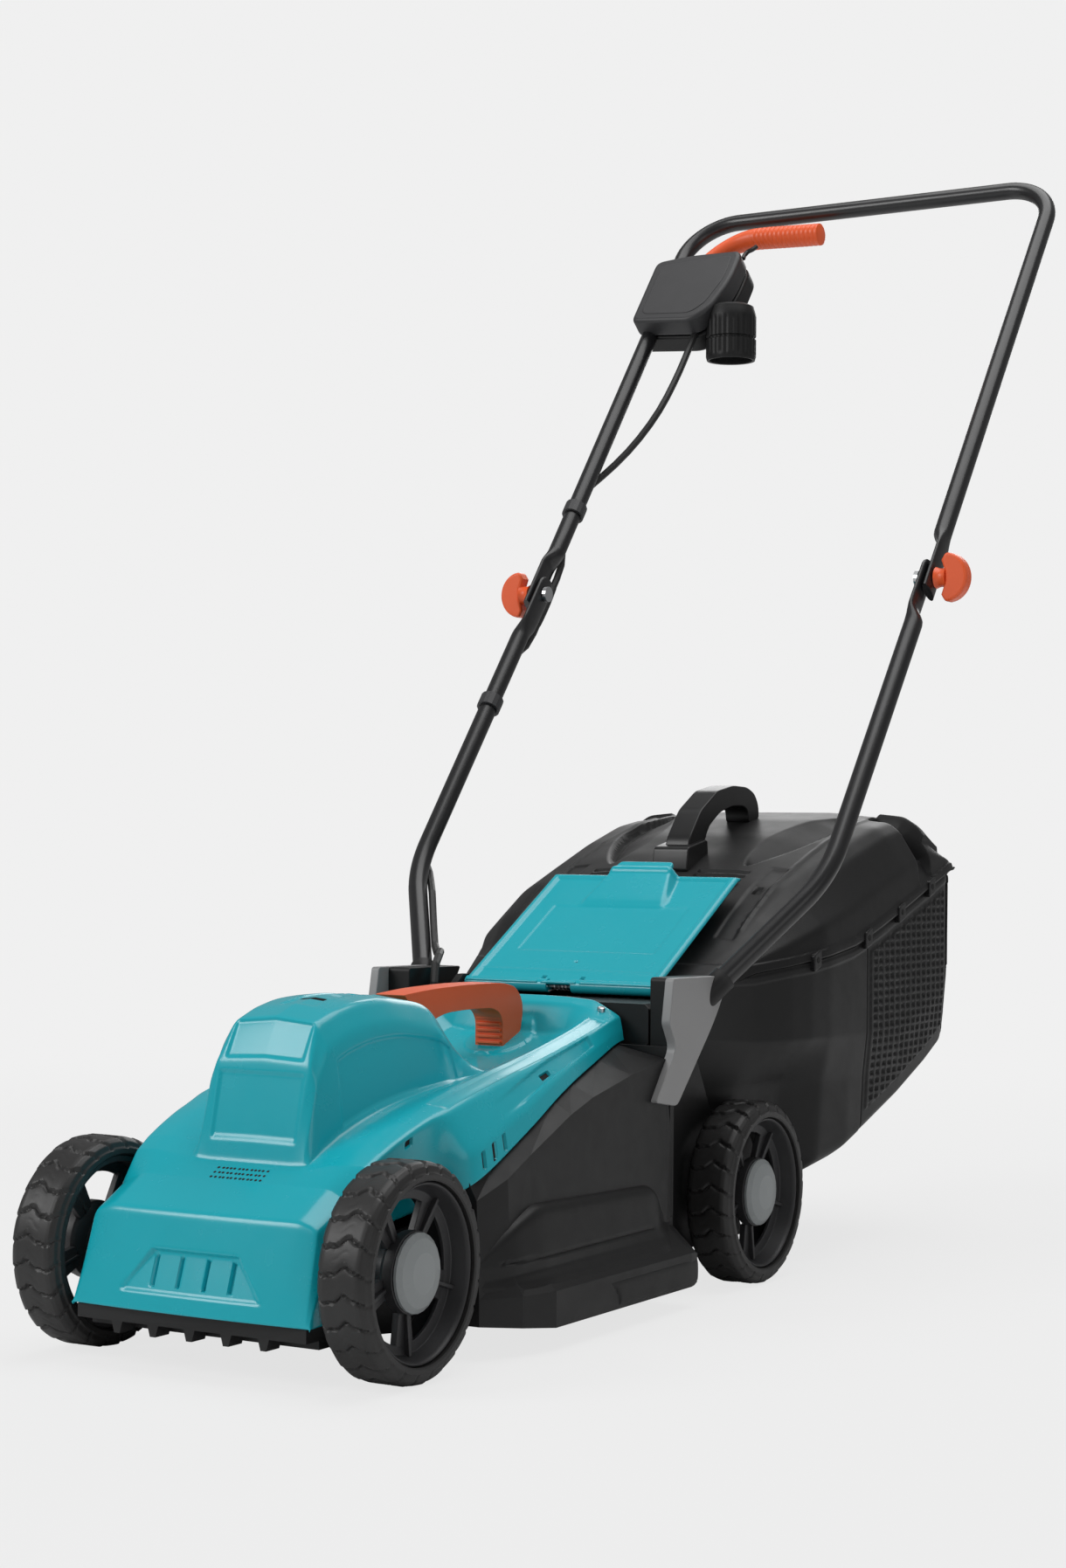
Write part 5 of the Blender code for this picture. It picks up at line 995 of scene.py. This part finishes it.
def lid_grid():
    front = [(0.119, 0.246), (0.118, 0.2505), (0.115, 0.254), (0.097, 0.2545), (0.05, 0.2545),
             (0.0, 0.2545)]
    rings = [[at(x, mouth(z, 0.016), z) for x, z in front]]
    rings += [[at(x, station, z) for x, z in lid_section(*values)] for station, values in LID]
    last = lid_section(*LID[-1][1])
    seam = last[0][1]
    rings.append([at(x * 0.985, BOX_REAR + 0.004, seam + (z - seam) * 0.78) for x, z in last])
    rings.append([at(x * 0.985, BOX_REAR + 0.005, seam) for x, _ in last])
    rows = dense_rows([split_line(ring, LID_SPLITS) for ring in rings], 0.0017)
    return mirror_grid(soften(soften(rows, 26, 0), 9, 1))


def press_leaf(relief, x, station):
    """A leaf-shaped hollow on each side of the lid's top, deepest towards its outer edge, where shade is
    painted dark.
    """
    reach = np.clip((station - 0.69) / 0.185, 0, 1)
    leaf_middle = 0.072 + 0.03 * reach
    half = 0.024 * np.sin(np.pi * reach) ** 0.7
    leaf = step_down(half - 0.004, half + 0.001, np.abs(x - leaf_middle))
    leaf = leaf * inside(station, 0.692, 0.873, 0.002)
    across = np.clip((x - leaf_middle + half) / (2 * half + 1e-6), 0, 1)
    relief.press(leaf * across, 0.0095)
    # painted shade along the deep outer part of the hollow, with no change to its shape
    relief.press_and_shade(leaf * step_up(0.7, 0.8, across) * inside(station, 0.715, 0.815, 0.004), 0)


def build_lid():
    """The box's lid: louvres by the handle, leaf-shaped hollows, rear corner blocks, a lip at the seam."""
    grid = lid_grid()
    normals = outward_normals(grid, grid.shape[1] // 2, 2)
    x, station, z = np.abs(grid[..., 0]), grid[..., 1] - AXLE_Y, grid[..., 2]
    relief = Relief(grid)
    # the louvres and the small slot are pressed in and painted dark as shade
    for k in range(8):
        place = 0.612 + 0.0088 * k
        relief.press_and_shade(inside(station, place, place + 0.004, 0.0007) * inside(x, 0.03, 0.082, 0.0008), 0.003)
    press_leaf(relief, x, station)
    relief.press_and_shade(inside(station, 0.64, 0.65, 0.001) * inside(x, 0.104, 0.11, 0.001), 0.0028)
    # a valley ahead of each rear corner block
    relief.press(inside(station, 0.872, 0.896, 0.004) * inside(x, 0.12, 0.172, 0.004), 0.013)
    relief.press(inside(station, 0.902, 0.942, 0.004) * inside(x, 0.118, 0.16, 0.004), -0.0045)
    # a sunk panel at the front and a raised ridge outside it
    relief.press(inside(station, 0.575, 0.69, 0.004) * inside(x, 0.1, 0.116, 0.003), 0.0012)
    relief.press(inside(x, 0.1175, 0.1205, 0.0015) * inside(station, 0.585, 0.87, 0.004), -0.0012)
    relief.press(step_down(0.0065, 0.0085, z - along_box(LID, station, 4)) * (x > 0.05), -0.0016)
    lid = grid_object("grass_box_cover", relief.pressed(grid, normals), (BLACK, OPENING_SHADE), dark=relief.dark,
                      thickness=0.0022)
    settle(lid, "grass_box", "black_plastic", "grass_box_lid")
    for label, side in SIDES:
        for k, place in enumerate(SEAM_CLIPS):
            build_seam_clip(f"{label}_{k + 1}", side, place)


def build_seam_clip(label, side, place):
    outer, low = between(LID, place)[3:]
    half = 0.0075
    outline = round_corners([(place - half, low - 0.011), (place + half, low - 0.006),
                             (place + half, low + 0.01), (place - half, low + 0.005)], 0.003)
    clip = plate("seam_clip_" + label, outline, side * (outer - 0.003), side * (outer + 0.0032), on_side,
                 BLACK_SATIN, 0.0012)
    settle(clip, "grass_box", "black_plastic")
    # the clip's eye is a thin dark disc of painted shade on its face
    circle = [(place + 0.003 * math.cos(t), low + 0.003 * math.sin(t))
              for t in (math.tau * n / 20 for n in range(20))]
    eye = plate("seam_clip_eye_" + label, circle, side * (outer + 0.002), side * (outer + 0.0036), on_side,
                OPENING_SHADE, 0.0003, 1)
    settle(eye, "grass_box", "black_plastic")


def build_box_handle():
    arch = [(0.69, 0.39), (0.715, 0.418), (0.75, 0.437), (0.785, 0.443), (0.815, 0.442),
            (0.832, 0.436), (0.841, 0.425)]
    inner = [(0.816, 0.419), (0.805, 0.4225), (0.782, 0.422), (0.756, 0.416), (0.732, 0.402),
             (0.722, 0.387)]
    rear_foot, front_foot = ([(station, between(LID, station)[2] - 0.001) for station in pair]
                             for pair in ((0.843, 0.818), (0.72, 0.682)))
    outline = round_corners(arch + rear_foot + inner + front_foot, 0.006, 4)
    handle = plate("grass_box_grip", outline, -0.0128, 0.0128, on_side, BLACK_SATIN, 0.005, 5)
    settle(handle, "grass_box", "black_plastic", "grass_box_handle")
    low = between(LID, 0.7)[2]
    outline = round_corners([(0.672, low - 0.012), (0.718, low + 0.002), (0.716, low + 0.02),
                             (0.676, low + 0.012)], 0.004)
    foot = plate("grass_box_grip_foot", outline, -0.019, 0.019, on_side, BLACK_SATIN, 0.004, 4)
    settle(foot, "grass_box", "black_plastic")


# ---- handle ----
BAR = at(0, 1.139, 1.089)
FOLD = at(0, 0.7886, 0.6402)
UP_TUBE = (BAR - FOLD).normalized()
PLANE_NORMAL = Vector((0, UP_TUBE.z, -UP_TUBE.y))
UPPER_LENGTH = (BAR - FOLD).length
HALF_SPREAD = 0.4306 / 2
TUBE_RADIUS, FLAT_THICKNESS, FLAT_HALF_WIDTH = 0.009, 0.008, 0.0125
FLAT_SHIFT = (FLAT_THICKNESS + 0.0003) / 2    # how far each pressed end stands from the tube's middle
FLAT_LENGTH, FLAT_START, FLAT_EASE = 0.078, 0.06, 0.022
BAR_CORNER, KNEE_BEND = 0.055, 0.034
LEG_FOOT = Vector((0.1545, 0.48, 0.2695))
LEG_KNEE = Vector((HALF_SPREAD, 0.5617, 0.3577))
FOLD_POINT = Vector((HALF_SPREAD, 0.7886, 0.6402))
LEG_DOWN = (LEG_FOOT - LEG_KNEE).normalized()


def on_handle(x, down, out=0.0):
    """A point given by its distance below the grip bar and its distance out of the handle's plane."""
    return BAR + Vector((x, 0, 0)) - UP_TUBE * down + PLANE_NORMAL * out


def on_leg(point, side):
    return at(side * point[0], point[1], point[2])


def tube(name, path, radii, material, body, slot, *nodes, sides=32, plane=PLANE_NORMAL):
    obj = grid_object(name, tube_grid(path, radii, plane, sides), (material,), wrap=(False, True))
    probe = middle_face(obj)
    face_out(obj, probe, probe.center - min(path, key=lambda point: (point - probe.center).length))
    settle(obj, body, slot, *nodes)


def eased(a, b, t):
    t = min(1.0, max(0.0, t))
    return a + (b - a) * t * t * (3 - 2 * t)


def flattened(past):
    """The tube's section some way into its pressed end: sideways shift, then (across, along) radii."""
    share = past / FLAT_EASE
    return eased(0, FLAT_SHIFT, share), (eased(TUBE_RADIUS, FLAT_THICKNESS / 2, share),
                                         eased(TUBE_RADIUS, FLAT_HALF_WIDTH, share))


def build_lower_tube(label, side):
    up = (FOLD_POINT - LEG_KNEE).normalized()
    length = (FOLD_POINT - LEG_KNEE).length
    start = (LEG_FOOT - LEG_KNEE).length + 0.04
    path = [LEG_KNEE + LEG_DOWN * (start - (start - KNEE_BEND) * k / 12) for k in range(13)]
    before, after = path[-1], LEG_KNEE + up * KNEE_BEND
    path += [before * (1 - t) ** 2 + LEG_KNEE * 2 * t * (1 - t) + after * t ** 2
             for t in (k / 12 for k in range(1, 13))]
    path += [LEG_KNEE + up * (KNEE_BEND + (length - FLAT_START - KNEE_BEND) * k / 16) for k in range(1, 17)]
    radii = [(TUBE_RADIUS, TUBE_RADIUS)] * len(path)
    for k in range(1, 20):
        past = FLAT_LENGTH * k / 19
        shift, (thin, wide) = flattened(past)
        path.append(LEG_KNEE + up * (length - FLAT_START + past) - Vector((shift, 0, 0)))
        radii.append((thin, wide * (1 - 0.35 * max(0, (k - 17) / 2) ** 2)))
    tube("lower_tube_" + label, [on_leg(point, side) for point in path], radii, POWDER, "chassis",
         "black_tube", "lower_handle_" + label)


def build_grip_tube():
    """The upper tube as half a U from its pressed end to the middle of the bar, then mirrored."""
    round_section = (TUBE_RADIUS, TUBE_RADIUS)
    half = []
    for k in range(20):
        past = FLAT_LENGTH * k / 19
        shift, section = flattened(FLAT_LENGTH - past)
        half.append((HALF_SPREAD + shift, UPPER_LENGTH + 0.018 - past, section))
    low = UPPER_LENGTH - FLAT_START
    straight_length = low - BAR_CORNER
    half += [(HALF_SPREAD, low - straight_length * k / 20, round_section) for k in range(1, 20)]
    for k in range(19):
        turn = math.radians(90 * k / 18)
        half.append((HALF_SPREAD - BAR_CORNER + BAR_CORNER * math.cos(turn),
                     BAR_CORNER - BAR_CORNER * math.sin(turn), round_section))
    half += [((HALF_SPREAD - BAR_CORNER) * (1 - k / 8), 0.0, round_section) for k in range(1, 9)]
    points = half + [(-x, down, section) for x, down, section in reversed(half[:-1])]
    tube("grip_tube", [on_handle(x, down) for x, down, _ in points], [section for _, _, section in points],
         POWDER, "handle", "black_tube", "upper_handle")


def build_tubes():
    """The bent tubes, each pressed flat where its clamp bolt goes through."""
    for label, side in SIDES:
        build_lower_tube(label, side)
    build_grip_tube()


# (station, height) of the bracket's outer plate and of its body behind that
BRACKET_OUTLINE = [(0.392, 0.2735), (0.497, 0.272), (0.47, 0.235), (0.4, 0.166), (0.362, 0.172),
                   (0.398, 0.215), (0.385, 0.236)]
BRACKET_RADII = [0.003, 0.004, 0.02, 0.006, 0.003, 0.008, 0.003]
BRACKET_BODY = [(0.407, 0.273), (0.494, 0.2716), (0.469, 0.236), (0.425, 0.1905), (0.407, 0.1805)]
SOCKET_RADIUS = TUBE_RADIUS + 0.0022


def build_brackets():
    """A plate that hangs over the deck's side, with a socket for the tube behind it."""
    for label, side in SIDES:
        face = plate("bracket_plate_" + label, round_corners(BRACKET_OUTLINE, BRACKET_RADII), side * 0.144,
                     side * 0.1524, on_side, GREY_MID, 0.0016, 4)
        settle(face, "chassis", "grey_plastic", "handle_bracket_" + label)
        body = plate("bracket_body_" + label, round_corners(BRACKET_BODY, 0.004), side * 0.1216,
                     side * 0.1446, on_side, BLACK, 0.0015, 3)
        settle(body, "chassis", "black_plastic")
        path = straight(LEG_FOOT - LEG_DOWN * 0.0015, LEG_FOOT + LEG_DOWN * 0.042, 6)
        tube("bracket_socket_" + label, [on_leg(point, side) for point in path],
             [(SOCKET_RADIUS, SOCKET_RADIUS)] * len(path), BLACK, "chassis", "black_plastic", plane=Y_AXIS)


# ---- switch box ----
# (x, distance below the grip bar)
BOX_OUTLINE = [(-0.229, 0.084), (-0.19, 0.078), (-0.127, 0.079), (-0.1225, 0.09), (-0.1225, 0.128),
               (-0.1345, 0.171), (-0.153, 0.189), (-0.229, 0.1815)]
BOX_RADII = [0.01, 0.02, 0.008, 0.01, 0.02, 0.02, 0.012, 0.008]
BOX_FIELD = [(-0.219, 0.093), (-0.132, 0.088), (-0.132, 0.126), (-0.143, 0.164), (-0.157, 0.178),
             (-0.219, 0.172)]
BOX_SCREWS = [(-0.217, 0.1), (-0.145, 0.148), (-0.212, 0.169)]
INLET_RIBS, INLET_OUTER_POINTS = 24, 29


def build_switch_box():
    outline = round_corners(BOX_OUTLINE, BOX_RADII)
    cover = plate("switch_cover", outline, -0.0255, -0.0004, on_handle, GREY_DARK, 0.0048, 5)
    settle(cover, "handle", "dark_grey_plastic", "switch_box_cover")
    base = plate("switch_base", outline, 0.0235, 0.0004, on_handle, BLACK, 0.0036, 4)
    settle(base, "handle", "black_plastic", "switch_box_base")
    panel = plate("switch_cover_panel", round_corners(BOX_FIELD, 0.008), -0.0262, -0.024, on_handle,
                  GREY_DARK, 0.0009, 2)
    settle(panel, "handle", "dark_grey_plastic")
    for k, (x, down) in enumerate(BOX_SCREWS):
        screw = screw_head(f"switch_screw_{k + 1}", on_handle(x, down, 0.0236), PLANE_NORMAL)
        settle(screw, "handle", "steel")
    build_inlet()


def build_inlet():
    """The round inlet: a ribbed skirt, a rolled rim, and a socket with two pins inside."""
    low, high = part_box("power_inlet")
    centre = (low + high) / 2
    radius = (high.x - low.x) / 2
    profile = [(0.0, 0.062), (0.019, 0.062), (0.0245, 0.059), (radius - 0.0008, 0.052), (radius, 0.048),
               (radius, 0.026), (radius - 0.0016, 0.025), (radius - 0.0016, 0.0235), (radius, 0.0225),
               (radius, 0.004), (radius - 0.0012, 0.0), (radius - 0.004, 0.0004), (radius - 0.0042, 0.033),
               (0.0, 0.033)]
    outline = split_line(profile, (3, 2, 3, 2, 8, 1, 1, 1, 8, 2, 1, 8, 3))
    turns = np.linspace(0, math.tau, 144, endpoint=False)[:, None]
    r, z = outline[None, :, 0], outline[None, :, 1]
    outer = (np.arange(len(outline)) < INLET_OUTER_POINTS)[None, :]
    r = r - 0.0009 * step_up(0.2, 0.8, np.cos(turns * INLET_RIBS)) * inside(z, 0.006, 0.046, 0.002) * outer
    z = low.z + z * np.ones_like(r)
    grid = np.stack([centre.x + r * np.cos(turns), centre.y + r * np.sin(turns), z], axis=2)
    inlet = grid_object("inlet_shroud", grid, (BLACK,), wrap=(True, False))
    face_out(inlet, max(inlet.data.polygons, key=lambda face: face.center.x), X_AXIS)
    settle(inlet, "handle", "black_plastic", "power_inlet")
    for k, offset in enumerate((-0.0095, 0.0095)):
        top = Vector((centre.x + offset, centre.y, low.z + 0.036))
        tube(f"inlet_pin_{k + 1}", straight(top, top - Z_AXIS * 0.024, 4), [(0.0024, 0.0024)] * 5, ZINC,
             "handle", "steel", sides=16, plane=Y_AXIS)


# ---- lever and knobs ----
# x, distance below the grip bar, radius
LEVER_ROUTE = [(-0.19, 0.092, 0.0088), (-0.188, 0.078, 0.0088), (-0.18, 0.064, 0.0098),
               (-0.168, 0.05, 0.0108), (-0.153, 0.039, 0.0124), (-0.136, 0.0335, 0.0128),
               (-0.118, 0.033, 0.0128), (-0.083, 0.035, 0.0128), (-0.048, 0.037, 0.0126)]
LEVER_RIB = 0.0056
KNOB_HALF = 0.0078


def build_lever():
    """The ribbed switch lever, from its pivot in the box up to the bar."""
    points, lengths = curve_through([on_handle(x, down) for x, down, _ in LEVER_ROUTE], 0.0007)
    marks = np.linspace(0, 1, len(LEVER_ROUTE))
    radii = []
    for k, reach in enumerate(lengths):
        share = k / (len(lengths) - 1)
        radius = float(np.interp(share, marks, [r for _, _, r in LEVER_ROUTE]))
        grip = float(step_up(0.5, 0.56, share) * step_down(0.965, 0.985, share))
        radius -= 0.0007 * grip * max(0.0, math.cos(math.tau * reach / LEVER_RIB)) ** 2
        radius *= 1 - 0.28 * float(step_up(0.988, 1.0, share)) ** 2
        radii.append((radius * 0.9, radius))
    tube("lever_grip", points, radii, ORANGE, "bail", "orange_plastic", "bail_lever", sides=40)


def across_bolt(x, z, y):
    return Vector((x, y, z))


def build_knobs():
    """Half-moon wing knobs on round necks."""
    for label, side in SIDES:
        low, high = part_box("wing_knob_" + label)
        near, far = sorted((low.x * side, high.x * side))
        centre = (low + high) / 2
        radius = (high.z - low.z) / 2
        wing = near + 0.007
        rim = wing + 0.004
        outline = [(side * (rim + (far - rim) * math.cos(a)), centre.z + radius * math.sin(a))
                   for a in (math.radians(-90 + 180 * k / 24) for k in range(25))]
        outline += [(side * wing, centre.z + radius - 0.007), (side * (wing + 0.0035), centre.z + 0.006),
                    (side * (wing + 0.0035), centre.z - 0.006), (side * wing, centre.z - radius + 0.007)]
        knob = plate("knob_wing_" + label, outline, centre.y - KNOB_HALF, centre.y + KNOB_HALF,
                     across_bolt, ORANGE, 0.0032, 5)
        settle(knob, "knob_" + label, "orange_plastic", "wing_knob_" + label)
        root = Vector((side * near, centre.y, centre.z))
        waist = [(0.0104 - 0.0016 * math.sin(math.pi * t / 6),) * 2 for t in range(7)]
        tube("knob_neck_" + label, straight(root, root + X_AXIS * side * 0.011, 6), waist, ORANGE,
             "knob_" + label, "orange_plastic", plane=Z_AXIS)


# ---- cable across the fold ----
CABLE_RADIUS = 0.0037
BEHIND_TUBE = FLAT_HALF_WIDTH + CABLE_RADIUS + 0.001
BEND_REACH, BEND_SAG, BEND_STEPS, BEND_SIDES = 0.026, 0.0012, 18, 20


def build_cable_bend():
    """The short length of the motor cable at the fold, behind the right tube."""
    fold = on_leg(FOLD_POINT, -1) + PLANE_NORMAL * BEHIND_TUBE
    reach = [BEND_REACH * (2 * k / BEND_STEPS - 1) for k in range(BEND_STEPS + 1)]
    path = [fold + UP_TUBE * along + PLANE_NORMAL * BEND_SAG * (1 - (along / BEND_REACH) ** 2)
            for along in reach]
    grid = tube_grid(path, [(CABLE_RADIUS + 0.0002,) * 2] * len(path), X_AXIS, BEND_SIDES)
    bend = grid_object("cable_bend", grid, (RUBBER,), wrap=(False, True))
    probe = bend.data.polygons[BEND_STEPS // 2 * BEND_SIDES]
    face_out(bend, probe, probe.center - path[BEND_STEPS // 2 - 1])
    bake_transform(bend)


build_camera()
build_stage()
finish_cad()
build_hood()
build_wheels()
build_deck()
build_carry_handle()
build_flap()
build_tub()
build_lid()
build_box_handle()
build_tubes()
build_brackets()
build_switch_box()
build_lever()
build_knobs()
build_cable_bend()
